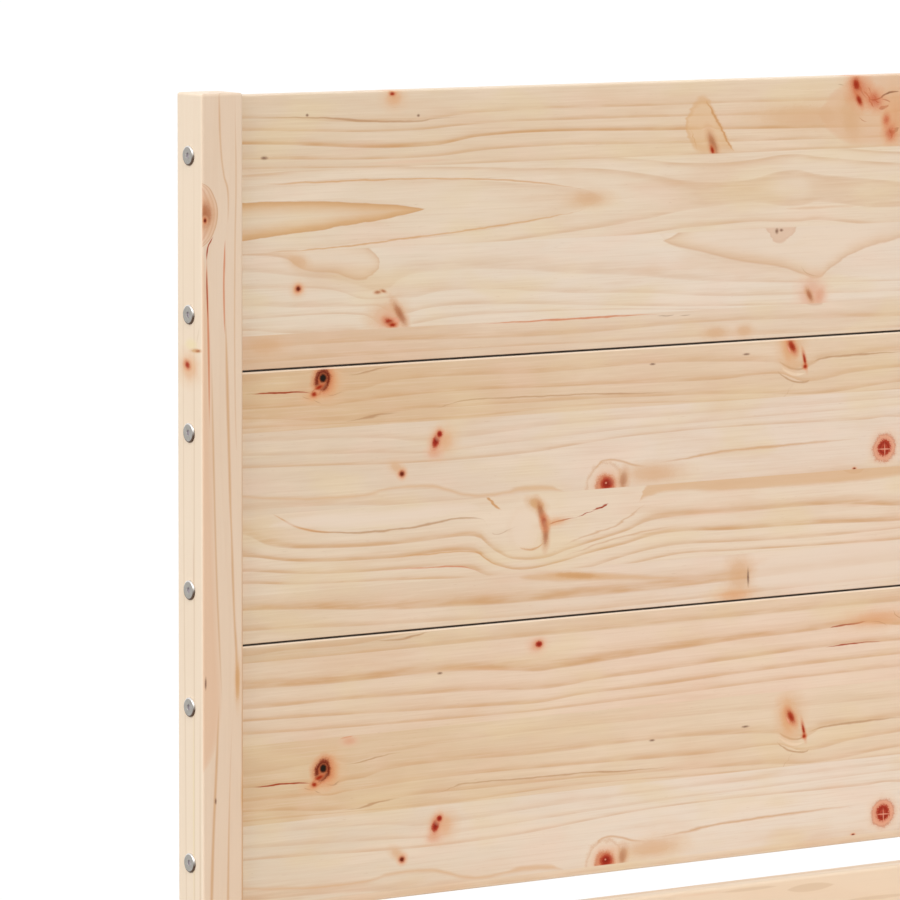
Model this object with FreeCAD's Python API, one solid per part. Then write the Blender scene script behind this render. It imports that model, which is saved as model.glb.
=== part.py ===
import FreeCAD, Part
import os
from collections import defaultdict, namedtuple

# Double bed frame of planed pine. Four square posts are bolted to side rails and end boards, the
# two head posts also carry three wide headboard panels, and slats lie on ledgers and a center beam.
# Sizes are in millimetres. X runs across the bed, +Y towards the head and +Z up. The origin is on
# the floor, below the middle of the bed.

# Mattress and the space round it
mattress_width = 1400.0
mattress_length = 2000.0
mattress_play = 5.0             # free space at each side and at each end
recess_depth = 70.0             # top of the rails down to the top of the slats

# Posts
post_size = 35.0
post_edge_radius = 2.0
post_foot_chamfer = 1.5
post_proud = 2.5                # a post stands this far above the board at its top

# Headboard panels, end boards and side rails
board_thickness = 18.0
panel_height = 200.0
panel_edge_radius = 1.2
panel_count = 3
panel_gap = 1.0
lower_gap = 22.0                # between the lowest panel and the head end board
rail_height = 200.0             # side rails and both end boards
rail_clearance = 175.0          # floor to the underside of the rails
rail_edge_radius = 2.5

# Upright batten behind the headboard panels
batten_width = 60.0
batten_thickness = 8.0
batten_end_margin = 20.0
batten_edge_radius = 1.0

# Slats
slat_count = 15
slat_width = 80.0
slat_thickness = 18.0
slat_edge_radius = 1.5
slat_side_play = 2.5
slat_end_margin = 25.0

# Ledgers under the ends of the slats
ledger_width = 30.0
ledger_height = 40.0
ledger_edge_radius = 1.5
ledger_end_play = 10.0

# Center beam and its two legs
beam_width = 35.0
beam_height = 60.0
beam_edge_radius = 1.5
beam_end_play = 0.5
leg_size = 35.0
leg_edge_radius = 1.5
leg_spacing = 700.0
stud_diameter = 8.0
stud_length = 60.0
stud_end_play = 2.0
insert_diameter = 12.0
insert_length = 20.0

# Folded steel hangers for the beam
hanger_thickness = 2.0
hanger_side_play = 0.5
hanger_cheek_length = 40.0
hanger_cheek_height = 45.0
hanger_flange_width = 22.0
hanger_screw_edge = 10.0

# Connector bolts and barrel nuts
bolt_diameter = 6.0
bolt_head_diameter = 15.0
bolt_face_diameter = 13.0
bolt_head_height = 2.2
bolt_rim_height = 0.8
bolt_socket_width = 4.0         # across the flats of the hexagon
bolt_socket_depth = 2.0
bolt_tip = 3.0                  # beyond the barrel nut
bolt_edge_distance = 42.5       # bolts across the bed, from the board's long edges
rail_bolt_edge_distance = 60.0  # bolts along the bed, which pass between those
barrel_diameter = 10.0
barrel_length = 12.0
barrel_inset = 27.0             # from the board's end to the middle of the barrel nut
barrel_slot_width = 1.2
barrel_slot_depth = 1.2

# Screws. A bite is how far a screw goes into the piece below
slat_screw_diameter = 4.0
slat_screw_head = 8.0
slat_screw_bite = 17.0
ledger_screw_diameter = 4.5
ledger_screw_head = 9.0
ledger_screw_bite = 12.0
batten_screw_diameter = 3.5
batten_screw_head = 7.0
batten_screw_bite = 12.0
hanger_screw_diameter = 4.5
hanger_screw_head = 9.0
hanger_screw_bite = 13.0
hanger_screw_head_height = 2.0
drive_span_share = 0.5          # cross recess, as shares of the screw head's diameter
drive_width_share = 0.14
drive_depth_share = 0.25
pan_top_share = 0.6             # flat top of a pan head, as a share of the head

# Clearances
hole_play = 0.5                 # round a bolt
thread_play = 0.05              # round a bolt in its nut, a screw in wood, a stud in its insert
barrel_play = 0.1
bore_run = 3.0                  # a blind bore goes this far past what it holds
overrun = 5.0                   # cutting tools start this far outside the wood

# Worked out from the sizes above
recess_width = mattress_width + 2 * mattress_play
recess_length = mattress_length + 2 * mattress_play
board_inset = (post_size - board_thickness) / 2
frame_half_width = recess_width / 2 + board_thickness + board_inset
frame_half_length = recess_length / 2 + board_thickness + board_inset
post_inner_x = frame_half_width - post_size
post_inner_y = frame_half_length - post_size
post_mid_x = frame_half_width - post_size / 2
post_mid_y = frame_half_length - post_size / 2
rail_top = rail_clearance + rail_height
headboard_bottom = rail_top + lower_gap
headboard_top = headboard_bottom + panel_count * (panel_height + panel_gap) - panel_gap
panel_tops = [headboard_top - n * (panel_height + panel_gap) for n in range(panel_count)]
head_post_height = headboard_top + post_proud
foot_post_height = rail_top + post_proud
slat_top = rail_top - recess_depth
ledger_top = slat_top - slat_thickness
beam_bottom = ledger_top - beam_height
slat_pitch = (recess_length - 2 * slat_end_margin - slat_width) / (slat_count - 1)
slat_places = [(n - (slat_count - 1) / 2) * slat_pitch for n in range(slat_count)]
slat_screw_x = recess_width / 2 - ledger_width / 2
bolt_length = post_size + barrel_inset + barrel_diameter / 2 + bolt_tip

Vector = FreeCAD.Vector
AXES = {"x": Vector(1, 0, 0), "y": Vector(0, 1, 0), "z": Vector(0, 0, 1)}
HEAD, FOOT = 1, -1
SIDES = {"left": -1, "right": 1}
ENDS = {"head": HEAD, "foot": FOOT}

pieces = {}                     # node name -> one solid
groups = defaultdict(list)      # node name -> like solids that share a node
cuts = defaultdict(list)        # node name -> tools that are cut from its solid

Screw = namedtuple("Screw", "diameter head length")


# Shapes

def box(low, high):
    """A block between two opposite corners."""
    return Part.makeBox(*(high[n] - low[n] for n in range(3)), Vector(*low))


def edges_along(shape, axis):
    """The straight edges of a block that run along one axis."""
    return [edge for edge in shape.Edges if abs(edge.tangentAt(edge.FirstParameter).dot(axis)) > 0.99]


def bar(low, high, along, radius):
    """A planed bar: a block whose four long edges are rounded."""
    block = box(low, high)
    return block.makeFillet(radius, edges_along(block, AXES[along]))


def cylinder(base, direction, radius, length):
    return Part.makeCylinder(radius, length, base, direction)


def turned(profile):
    """A solid of revolution about Z from (radius, height) points that start and end on the axis."""
    points = [Vector(radius, 0, height) for radius, height in profile]
    face = Part.Face(Part.makePolygon(points + points[:1]))
    return face.revolve(Vector(0, 0, 0), AXES["z"], 360)


def placed(shape, point, inward):
    """A copy of a fastener modelled along -Z, with its seat at a point and its shank inward."""
    copy = shape.copy()
    copy.Placement = FreeCAD.Placement(point, FreeCAD.Rotation(-AXES["z"], inward))
    return copy


# Fasteners, modelled with the seat at the origin and the shank along -Z

def connector_bolt():
    """A bolt with a flat bevelled head and a hexagon socket."""
    shank = bolt_diameter / 2
    head = turned([
        (0, bolt_head_height), (bolt_face_diameter / 2, bolt_head_height),
        (bolt_head_diameter / 2, bolt_rim_height), (bolt_head_diameter / 2, 0),
        (shank, 0), (shank, -bolt_length), (0, -bolt_length)])
    corner = bolt_socket_width / 3 ** 0.5
    rim = [FreeCAD.Rotation(AXES["z"], 60 * n).multVec(Vector(corner, 0, 0)) for n in range(7)]
    socket = Part.Face(Part.makePolygon(rim)).extrude(Vector(0, 0, bolt_socket_depth))
    socket.translate(Vector(0, 0, bolt_head_height - bolt_socket_depth))
    return head.cut(socket)


def barrel_nut(center, bolt_axis, bore_axis):
    """A cross dowel with a threaded hole and a screwdriver slot in its outer end."""
    radius = barrel_diameter / 2
    body = cylinder(center - bore_axis * (barrel_length / 2), bore_axis, radius, barrel_length)
    thread = cylinder(center - bolt_axis * barrel_diameter, bolt_axis,
                      bolt_diameter / 2 + thread_play, 2 * barrel_diameter)
    slot_run = Vector(*(abs(value) * barrel_diameter for value in bolt_axis))
    slot_width = Vector(*(abs(value) * barrel_slot_width / 2 for value in bolt_axis.cross(bore_axis)))
    end = center + bore_axis * (barrel_length / 2)
    floor = end - bore_axis * barrel_slot_depth
    mouth = end + bore_axis * barrel_slot_depth
    corners = [floor - slot_run - slot_width, mouth + slot_run + slot_width]
    low = [min(corner[n] for corner in corners) for n in range(3)]
    high = [max(corner[n] for corner in corners) for n in range(3)]
    return body.cut([thread, box(low, high)])


def cross_recess(head, top):
    """The tool for a cross recess in a screw head whose top is at a height."""
    span = head * drive_span_share / 2
    width = head * drive_width_share / 2
    floor = top - head * drive_depth_share
    return [box((-span, -width, floor), (span, width, top + span)),
            box((-width, -span, floor), (width, span, top + span))]


def wood_screw(size):
    """A countersunk screw with its flat head at the origin."""
    shank = size.diameter / 2
    head = size.head / 2
    body = turned([(0, 0), (head, 0), (shank, shank - head),
                   (shank, size.diameter - size.length), (0, -size.length)])
    return body.cut(cross_recess(size.head, 0))


def pan_screw(size, head_height):
    """A screw whose low domed head seats at the origin."""
    shank = size.diameter / 2
    head = size.head / 2
    body = turned([(0, head_height), (head * pan_top_share, head_height), (head, 0), (shank, 0),
                   (shank, size.diameter - size.length), (0, -size.length)])
    return body.cut(cross_recess(size.head, head_height))


def countersink(size):
    """The hole that a countersunk screw fills, with a little play."""
    shank = size.diameter / 2 + thread_play
    head = size.head / 2 + thread_play
    return turned([(0, overrun), (head, overrun), (head, 0), (shank, shank - head),
                   (shank, -size.length - thread_play), (0, -size.length - thread_play)])


# Joints

def bolt_joint(post, board, group_form, seat, inward, bore_axis):
    """Bolt a post to a board's end. The head seats on the post's outer face, and the barrel nut
    lies in a blind bore that comes from the board's face on the side of bore_axis."""
    center = seat + inward * (post_size + barrel_inset)
    passage = cylinder(seat - inward * overrun, inward, bolt_diameter / 2 + hole_play,
                       overrun + bolt_length + bore_run)
    bore = cylinder(center - bore_axis * (barrel_length / 2), bore_axis,
                    barrel_diameter / 2 + barrel_play,
                    (barrel_length + board_thickness) / 2 + overrun)
    cuts[post].append(passage)
    cuts[board] += [passage, bore]
    groups[group_form.format("bolts")].append(placed(master_bolt, seat, inward))
    groups[group_form.format("barrel_nuts")].append(barrel_nut(center, inward, bore_axis))


def drive_screws(group, size, carriers, points, inward):
    """Drive countersunk screws at points on a face through all the pieces that they hold."""
    screw = wood_screw(size)
    hole = countersink(size)
    for point in points:
        groups[group].append(placed(screw, point, inward))
        for carrier in carriers:
            cuts[carrier].append(placed(hole, point, inward))


# Wooden pieces

def post(x_side, y_end, height):
    """A square post with rounded upright and top edges and a small chamfer at its foot."""
    low_x = min(x_side * post_inner_x, x_side * frame_half_width)
    low_y = min(y_end * post_inner_y, y_end * frame_half_length)
    block = box((low_x, low_y, 0), (low_x + post_size, low_y + post_size, height))
    top_edges = [edge for edge in block.Edges if edge.BoundBox.ZMin > height - post_edge_radius]
    rounded = block.makeFillet(post_edge_radius, edges_along(block, AXES["z"]) + top_edges)
    foot_edges = [edge for edge in rounded.Edges if edge.BoundBox.ZMax < post_foot_chamfer]
    return rounded.makeChamfer(post_foot_chamfer, foot_edges)


def make_posts():
    for side_name, side in SIDES.items():
        pieces["head_post_" + side_name] = post(side, HEAD, head_post_height)
        pieces["foot_post_" + side_name] = post(side, FOOT, foot_post_height)


def cross_board(y_end, top, height, edge_radius):
    """A board across the bed between two posts, in the middle of their depth."""
    low_y = y_end * post_mid_y - board_thickness / 2
    return bar((-post_inner_x, low_y, top - height),
               (post_inner_x, low_y + board_thickness, top), "x", edge_radius)


def bolt_board(name, y_end, top, height, bore_axis):
    """Bolt both ends of a cross board to its posts, with two bolts at each end."""
    end_name = "head" if y_end == HEAD else "foot"
    for side_name, side in SIDES.items():
        for level in (top - bolt_edge_distance, top - height + bolt_edge_distance):
            seat = Vector(side * frame_half_width, y_end * post_mid_y, level)
            bolt_joint(end_name + "_post_" + side_name, name, end_name + "_{}_" + side_name,
                       seat, AXES["x"] * -side, bore_axis)


def make_headboard():
    """Three panels one above the other, and the thin batten that lines them up from behind."""
    names = ["headboard_panel_" + word for word in ("top", "middle", "bottom")]
    back = post_mid_y + board_thickness / 2
    low = headboard_bottom + batten_end_margin
    high = headboard_top - batten_end_margin
    pieces["headboard_batten"] = bar((-batten_width / 2, back, low),
                                     (batten_width / 2, back + batten_thickness, high),
                                     "z", batten_edge_radius)
    size = Screw(batten_screw_diameter, batten_screw_head, batten_thickness + batten_screw_bite)
    for name, top in zip(names, panel_tops):
        pieces[name] = cross_board(HEAD, top, panel_height, panel_edge_radius)
        bolt_board(name, HEAD, top, panel_height, AXES["y"])
        levels = (top - bolt_edge_distance, top - panel_height + bolt_edge_distance)
        points = [Vector(0, back + batten_thickness, level) for level in levels]
        drive_screws("batten_screws", size, ["headboard_batten", name], points, -AXES["y"])


def make_end_boards():
    for end_name, y_end in ENDS.items():
        name = end_name + "_end_board"
        pieces[name] = cross_board(y_end, rail_top, rail_height, rail_edge_radius)
        bolt_board(name, y_end, rail_top, rail_height, AXES["y"])


def make_side_rails():
    """Rails between the head and foot posts, with bolts along the bed between the other bolts."""
    for side_name, side in SIDES.items():
        name = "side_rail_" + side_name
        low_x = side * post_mid_x - board_thickness / 2
        pieces[name] = bar((low_x, -post_inner_y, rail_clearance),
                           (low_x + board_thickness, post_inner_y, rail_top),
                           "y", rail_edge_radius)
        for end_name, y_end in ENDS.items():
            for level in (rail_top - rail_bolt_edge_distance, rail_clearance + rail_bolt_edge_distance):
                seat = Vector(side * post_mid_x, y_end * frame_half_length, level)
                bolt_joint(end_name + "_post_" + side_name, name, "rail_{}_" + side_name,
                           seat, AXES["y"] * -y_end, AXES["x"] * -side)


def ledger_screw_places():
    """Every second gap between slats, counted inwards from both ends."""
    gaps = slat_count - 1
    chosen = {place for n in range(0, (gaps + 1) // 2, 2) for place in (n, gaps - 1 - n)}
    return [(n - (gaps - 1) / 2) * slat_pitch for n in sorted(chosen)]


def make_ledgers():
    half_length = post_inner_y - ledger_end_play
    size = Screw(ledger_screw_diameter, ledger_screw_head, ledger_width + ledger_screw_bite)
    for side_name, side in SIDES.items():
        name = "slat_ledger_" + side_name
        faces = sorted((side * recess_width / 2, side * (recess_width / 2 - ledger_width)))
        pieces[name] = bar((faces[0], -half_length, ledger_top - ledger_height),
                           (faces[1], half_length, ledger_top), "y", ledger_edge_radius)
        points = [Vector(side * (recess_width / 2 - ledger_width), y, ledger_top - ledger_height / 2)
                  for y in ledger_screw_places()]
        drive_screws("ledger_screws_" + side_name, size, [name, "side_rail_" + side_name],
                     points, AXES["x"] * side)


def make_slats():
    half_length = recess_width / 2 - slat_side_play
    size = Screw(slat_screw_diameter, slat_screw_head, slat_thickness + slat_screw_bite)
    for number, y in enumerate(slat_places, start=1):
        name = "slat_{:02d}".format(number)
        pieces[name] = bar((-half_length, y - slat_width / 2, ledger_top),
                           (half_length, y + slat_width / 2, slat_top), "x", slat_edge_radius)
        for side_name, side in SIDES.items():
            drive_screws("slat_screws_" + side_name, size, [name, "slat_ledger_" + side_name],
                         [Vector(side * slat_screw_x, y, slat_top)], -AXES["z"])


def make_center_support():
    """The beam below the middle of the slats, and two legs that screw into it from below."""
    half_length = recess_length / 2 - hanger_thickness - beam_end_play
    pieces["center_beam"] = bar((-beam_width / 2, -half_length, beam_bottom),
                                (beam_width / 2, half_length, ledger_top), "y", beam_edge_radius)
    for end_name, y_end in ENDS.items():
        name = "center_leg_" + end_name
        y = y_end * leg_spacing / 2
        pieces[name] = bar((-leg_size / 2, y - leg_size / 2, 0),
                           (leg_size / 2, y + leg_size / 2, beam_bottom), "z", leg_edge_radius)
        seam = Vector(0, y, beam_bottom)
        low = seam - AXES["z"] * (stud_length / 2)
        bore_low = low - AXES["z"] * stud_end_play
        cuts[name].append(cylinder(bore_low, AXES["z"], stud_diameter / 2 + thread_play, stud_length))
        cuts["center_beam"] += [
            cylinder(seam, AXES["z"], insert_diameter / 2 + thread_play, insert_length),
            cylinder(seam, AXES["z"], stud_diameter / 2 + thread_play, stud_length / 2 + stud_end_play)]
        insert = cylinder(seam, AXES["z"], insert_diameter / 2, insert_length)
        thread = cylinder(seam, AXES["z"], stud_diameter / 2 + thread_play, insert_length)
        groups["leg_inserts"].append(insert.cut(thread))
        groups["leg_studs"].append(cylinder(low, AXES["z"], stud_diameter / 2, stud_length))


# Steel pieces

def make_hangers():
    """A folded hanger at each end of the beam: back plate with two flanges, a seat and two cheeks."""
    pocket = beam_width / 2 + hanger_side_play
    outer = pocket + hanger_thickness
    flange = outer + hanger_flange_width
    low = beam_bottom - hanger_thickness
    high = beam_bottom + hanger_cheek_height
    size = Screw(hanger_screw_diameter, hanger_screw_head, hanger_thickness + hanger_screw_bite)
    screw = pan_screw(size, hanger_screw_head_height)
    radius = size.diameter / 2 + thread_play
    for end_name, y_end in ENDS.items():
        name = "beam_hanger_" + end_name
        wall = y_end * recess_length / 2
        plate = wall - y_end * hanger_thickness
        lip = plate - y_end * hanger_cheek_length
        near, far = sorted((wall, lip))
        plate_low, plate_high = sorted((wall, plate))
        back = box((-flange, plate_low, low), (flange, plate_high, high))
        tray = box((-outer, near, low), (outer, far, high))
        room_near, room_far = sorted((plate, lip - y_end * overrun))
        room = box((-pocket, room_near, beam_bottom), (pocket, room_far, high + overrun))
        pieces[name] = back.fuse(tray).cut(room).removeSplitter()
        inward = AXES["y"] * y_end
        screw_x = flange - hanger_screw_edge
        for x in (-screw_x, screw_x):
            for level in (low + hanger_screw_edge, high - hanger_screw_edge):
                point = Vector(x, plate, level)
                hole = cylinder(point - inward * overrun, inward, radius,
                                overrun + size.length + thread_play)
                cuts[name].append(hole)
                cuts[end_name + "_end_board"].append(hole)
                groups["hanger_screws_" + end_name].append(placed(screw, point, inward))


# Assembly and export

def finished(name):
    """A piece with its holes cut, checked to be one solid."""
    shape = pieces[name]
    if cuts[name]:
        shape = shape.cut(cuts[name])
    if len(shape.Solids) != 1:
        raise ValueError("{} is {} solids".format(name, len(shape.Solids)))
    return shape.Solids[0]


master_bolt = connector_bolt()
make_posts()
make_headboard()
make_end_boards()
make_side_rails()
make_ledgers()
make_slats()
make_center_support()
make_hangers()

os.makedirs("parts", exist_ok=True)
for name in pieces:
    finished(name).exportStep("parts/" + name + ".step")
for name, members in groups.items():
    Part.makeCompound([member.Solids[0] for member in members]).exportStep("parts/" + name + ".step")
print(len(pieces) + len(groups), "nodes,", sum(map(len, groups.values())), "fasteners")
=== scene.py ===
"""Looks for the pine bed frame: camera, light, floor, pine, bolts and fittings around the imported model."""

import math
from collections import namedtuple

import bpy
import numpy as np
from bpy.props import FloatProperty, FloatVectorProperty, PointerProperty
from mathutils import Matrix, Vector


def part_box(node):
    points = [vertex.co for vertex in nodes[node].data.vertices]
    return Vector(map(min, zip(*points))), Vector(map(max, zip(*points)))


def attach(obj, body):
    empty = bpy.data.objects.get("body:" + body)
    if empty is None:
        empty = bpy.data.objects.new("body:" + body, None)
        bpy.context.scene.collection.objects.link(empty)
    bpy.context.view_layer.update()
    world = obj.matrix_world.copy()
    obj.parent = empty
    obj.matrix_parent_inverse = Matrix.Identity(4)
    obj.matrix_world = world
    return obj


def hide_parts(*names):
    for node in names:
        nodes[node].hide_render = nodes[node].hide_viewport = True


bl_info = {
    "name": "Pine bed frame looks",
    "version": (1, 0, 0),
    "blender": (4, 5, 0),
    "location": "3D View > Sidebar > Bed",
    "description": "Pine, steel, light and camera for a double bed frame",
    "category": "Object",
}

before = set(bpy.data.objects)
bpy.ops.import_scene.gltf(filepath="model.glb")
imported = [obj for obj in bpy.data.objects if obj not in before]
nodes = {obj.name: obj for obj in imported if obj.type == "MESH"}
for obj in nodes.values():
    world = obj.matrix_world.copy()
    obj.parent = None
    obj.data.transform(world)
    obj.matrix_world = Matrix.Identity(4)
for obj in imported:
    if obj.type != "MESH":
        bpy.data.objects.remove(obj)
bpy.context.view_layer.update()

# The left head post's outer front edge is where sizes along the headboard are counted from, in mm.
post_low, post_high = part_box("head_post_left")
FROM_LEFT = -post_low.x * 1000


def screen(red, green, blue, alpha=1.0):
    """A colour as a screen shows it, from 0 to 255, as a shader's linear red, green and blue with alpha."""
    parts = np.array([red, green, blue]) / 255
    linear = np.where(parts <= 0.04045, parts / 12.92, ((parts + 0.055) / 1.055) ** 2.4)
    return (*linear, alpha)


class Value:
    """A socket with Python's arithmetic on it. Each operator adds one Math node."""

    def __init__(self, tree, socket):
        self.tree = tree
        self.socket = socket

    def other(self, name):
        """Another output of the same node."""
        return Value(self.tree, self.socket.node.outputs[name])

    def __add__(self, other):
        return self.tree.maths("ADD", self, other)

    __radd__ = __add__

    def __sub__(self, other):
        return self.tree.maths("SUBTRACT", self, other)

    def __rsub__(self, other):
        return self.tree.maths("SUBTRACT", other, self)

    def __mul__(self, other):
        return self.tree.maths("MULTIPLY", self, other)

    __rmul__ = __mul__

    def __truediv__(self, other):
        return self.tree.maths("DIVIDE", self, other)

    def __rtruediv__(self, other):
        return self.tree.maths("DIVIDE", other, self)


class Tree:
    """The nodes of a material, of the world or of a node group."""

    def __init__(self, owner):
        self.owner = owner
        body = owner
        if not isinstance(owner, bpy.types.NodeTree):
            owner.use_nodes = True
            body = owner.node_tree
        self.nodes = body.nodes
        self.links = body.links
        self.nodes.clear()

    def node(self, kind, settings=None, values=None, output=0):
        """Adds a node. Its settings come first, then the values or links of its sockets."""
        node = self.nodes.new(kind)
        for name, setting in (settings or {}).items():
            if name == "stops":
                elements = node.color_ramp.elements
                for place, colour in setting[1:-1]:
                    elements.new(place).color = colour
                elements[0].position, elements[0].color = setting[0]
                elements[-1].position, elements[-1].color = setting[-1]
            elif name == "points":
                points = node.mapping.curves[0].points
                points[0].location = setting[0]
                points[-1].location = setting[-1]
                for place in setting[1:-1]:
                    points.new(*place)
                node.mapping.update()
            else:
                setattr(node, name, setting)
        for name, value in (values or {}).items():
            if isinstance(value, Value):
                self.links.new(value.socket, node.inputs[name])
            else:
                node.inputs[name].default_value = value
        return Value(self, node.outputs[output]) if node.outputs else None

    def maths(self, operation, first, second=0.0, third=0.0):
        """One Math node on one to three numbers."""
        return self.node("ShaderNodeMath", {"operation": operation}, {0: first, 1: second, 2: third})

    def smooth(self, value, low, high):
        """0 below low, 1 above high and a soft step between them."""
        values = {"Value": value, "From Min": low, "From Max": high}
        return self.node("ShaderNodeMapRange", {"interpolation_type": "SMOOTHSTEP", "clamp": False}, values)

    def point(self):
        """The shaded point in metres, as the CAD model counts it."""
        return self.node("ShaderNodeTexCoord", None, None, "Object")

    def vector(self, x, y, z):
        return self.node("ShaderNodeCombineXYZ", None, {"X": x, "Y": y, "Z": z})

    def noise(self, place, detail=2.0, roughness=0.5):
        """Soft noise about 0.5 over a vector."""
        values = {"Vector": place, "Scale": 1.0, "Detail": detail, "Roughness": roughness}
        return self.node("ShaderNodeTexNoise", None, values, "Fac")

    def grain(self, point, sizes, seed=0.0, detail=2.0, roughness=0.5):
        """Soft noise about 0.5 over a point, with that many grains in a metre of x, y and z."""
        spread = self.node("ShaderNodeMapping", None, {0: point, 1: (seed, seed, seed), 3: sizes})
        return self.noise(spread, detail, roughness)

    def mix(self, share, under, over, blend="MIX"):
        """Two colours mixed by a share from 0 to 1."""
        settings = {"data_type": "RGBA", "blend_type": blend}
        return self.node("ShaderNodeMix", settings, {0: share, 6: under, 7: over}, 2)

    def tint(self, under, share, colour):
        """A colour with a screen's colour over it by a share."""
        return self.mix(share, under, screen(*colour))

    def ramp(self, stops, share):
        return self.node("ShaderNodeValToRGB", {"stops": stops}, {"Fac": share})

    def line(self, share, points, span, low, rise):
        """A line drawn through given points (place, height), in parts of span and of rise above low."""
        start, stop = span
        unit = [((place - start) / (stop - start), (height - low) / rise) for place, height in points]
        return self.node("ShaderNodeFloatCurve", {"points": unit}, {"Value": share})

    def group(self, name, given, paint):
        """One colour made in a node group. Small trees are quicker to build than one large tree."""
        owner = bpy.data.node_groups.new(name, "ShaderNodeTree")
        inner = Tree(owner)
        kinds = {"VECTOR": "NodeSocketVector", "RGBA": "NodeSocketColor", "VALUE": "NodeSocketFloat"}
        for key, value in given.items():
            owner.interface.new_socket(key, in_out="INPUT", socket_type=kinds[value.socket.type])
        owner.interface.new_socket("Color", in_out="OUTPUT", socket_type="NodeSocketColor")
        source = inner.node("NodeGroupInput")
        colour = paint(inner, {key: source.other(key) for key in given})
        inner.node("NodeGroupOutput", None, {"Color": colour})
        return self.node("ShaderNodeGroup", {"node_tree": owner}, given, "Color")

    def surface(self, shader):
        """Ends the tree with that shader."""
        world = isinstance(self.owner, bpy.types.World)
        end = self.nodes.new("ShaderNodeOutputWorld" if world else "ShaderNodeOutputMaterial")
        self.links.new(shader.socket, end.inputs["Surface"])
        return self.owner


# A knot's colours reach this many times as far out as the edge of its ellipse.
KNOT_REACH = 4


def knot_stops(*stops):
    """Ramp stops for a knot whose edge is at 1. The ramp starts at its reach and ends in its middle."""
    return [(1 - out / KNOT_REACH, screen(*colour, share)) for out, colour, share in reversed(stops)]


KNOTS = {
    "great": knot_stops(
        (0.0, (140, 36, 24), 1.0), (0.2, (182, 70, 50), 1.0), (0.36, (146, 44, 30), 1.0),
        (0.54, (176, 66, 46), 1.0), (0.64, (214, 144, 114), 0.95), (0.86, (221, 162, 132), 0.9),
        (0.98, (200, 130, 100), 0.85), (1.1, (214, 170, 140), 0.5), (1.3, (224, 190, 162), 0.25),
        (1.7, (226, 196, 170), 0.0),
    ),
    "ruby": knot_stops(
        (0.0, (132, 34, 22), 1.0), (0.55, (160, 50, 34), 1.0), (0.85, (184, 84, 58), 0.95),
        (1.15, (212, 142, 108), 0.7), (1.7, (221, 168, 134), 0.35), (2.6, (225, 184, 154), 0.0),
    ),
    "ember": knot_stops(
        (0.0, (192, 92, 58), 0.85), (0.5, (204, 116, 78), 0.8), (1.0, (214, 144, 104), 0.55),
        (1.9, (220, 168, 130), 0.0),
    ),
    "shell": knot_stops(
        (0.0, (206, 136, 96), 0.9), (0.7, (198, 120, 82), 0.9), (0.92, (178, 96, 64), 0.9),
        (1.06, (210, 150, 114), 0.6), (1.25, (228, 204, 182), 0.5), (1.7, (228, 204, 182), 0.4),
        (1.95, (208, 168, 132), 0.55), (2.25, (224, 192, 162), 0.0),
    ),
    "bark": knot_stops(
        (0.0, (196, 112, 66), 0.95), (0.5, (176, 86, 50), 0.95), (0.8, (104, 34, 18), 1.0),
        (1.04, (140, 58, 32), 0.95), (1.3, (208, 132, 88), 0.7), (2.0, (218, 162, 120), 0.0),
    ),
    "hole": knot_stops(
        (0.0, (20, 18, 12), 1.0), (0.8, (34, 22, 14), 1.0), (1.15, (104, 48, 28), 0.85),
        (1.6, (188, 112, 72), 0.0),
    ),
    "pin": knot_stops(
        (0.0, (96, 34, 18), 1.0), (0.6, (122, 50, 30), 1.0), (1.1, (196, 112, 74), 0.8),
        (1.8, (224, 168, 128), 0.45), (2.9, (226, 184, 148), 0.0),
    ),
    "rust": knot_stops(
        (0.0, (150, 42, 18), 1.0), (0.6, (168, 58, 30), 0.95), (1.2, (206, 120, 78), 0.55),
        (2.2, (222, 166, 126), 0.0),
    ),
    "umber": knot_stops(
        (0.0, (166, 98, 60), 0.9), (0.7, (178, 114, 74), 0.8), (1.3, (206, 154, 114), 0.45),
        (2.2, (219, 176, 138), 0.0),
    ),
    "shade": knot_stops((0.0, (112, 80, 62), 0.9), (0.6, (136, 102, 82), 0.7), (1.4, (190, 152, 122), 0.0)),
    "pink": knot_stops(
        (0.0, (216, 158, 130), 0.75), (0.8, (218, 168, 140), 0.65), (1.5, (224, 182, 156), 0.3),
        (2.4, (228, 192, 166), 0.0),
    ),
    "orange": knot_stops(
        (0.0, (216, 156, 108), 0.7), (0.8, (218, 164, 118), 0.6), (1.6, (221, 178, 138), 0.25),
        (2.6, (223, 186, 150), 0.0),
    ),
    "tan": knot_stops(
        (0.0, (212, 170, 130), 0.75), (0.7, (213, 173, 134), 0.65), (1.2, (217, 181, 145), 0.35),
        (2.0, (221, 188, 156), 0.0),
    ),
    "gold": knot_stops(
        (0.0, (204, 156, 104), 0.9), (0.7, (206, 160, 112), 0.8), (1.1, (212, 170, 126), 0.4),
        (1.9, (219, 184, 144), 0.0),
    ),
    "straw": knot_stops(
        (0.0, (230, 214, 168), 0.7), (0.8, (230, 214, 168), 0.5), (1.6, (232, 216, 180), 0.0),
    ),
    "pale": knot_stops(
        (0.0, (229, 211, 192), 0.7), (0.8, (228, 209, 189), 0.6), (1.05, (224, 200, 176), 0.25),
        (1.3, (224, 200, 176), 0.0),
    ),
    "chalk": knot_stops(
        (0.0, (228, 172, 148), 0.8), (0.8, (224, 154, 128), 0.6), (1.3, (212, 130, 104), 0.0),
    ),
}


def paint(*stops):
    """How far inside a patch's edge the paint reaches in mm, and its ramp stops over that."""
    reach = stops[-1][0]
    return reach, [(inside / reach, screen(*colour, share)) for inside, colour, share in stops]


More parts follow.
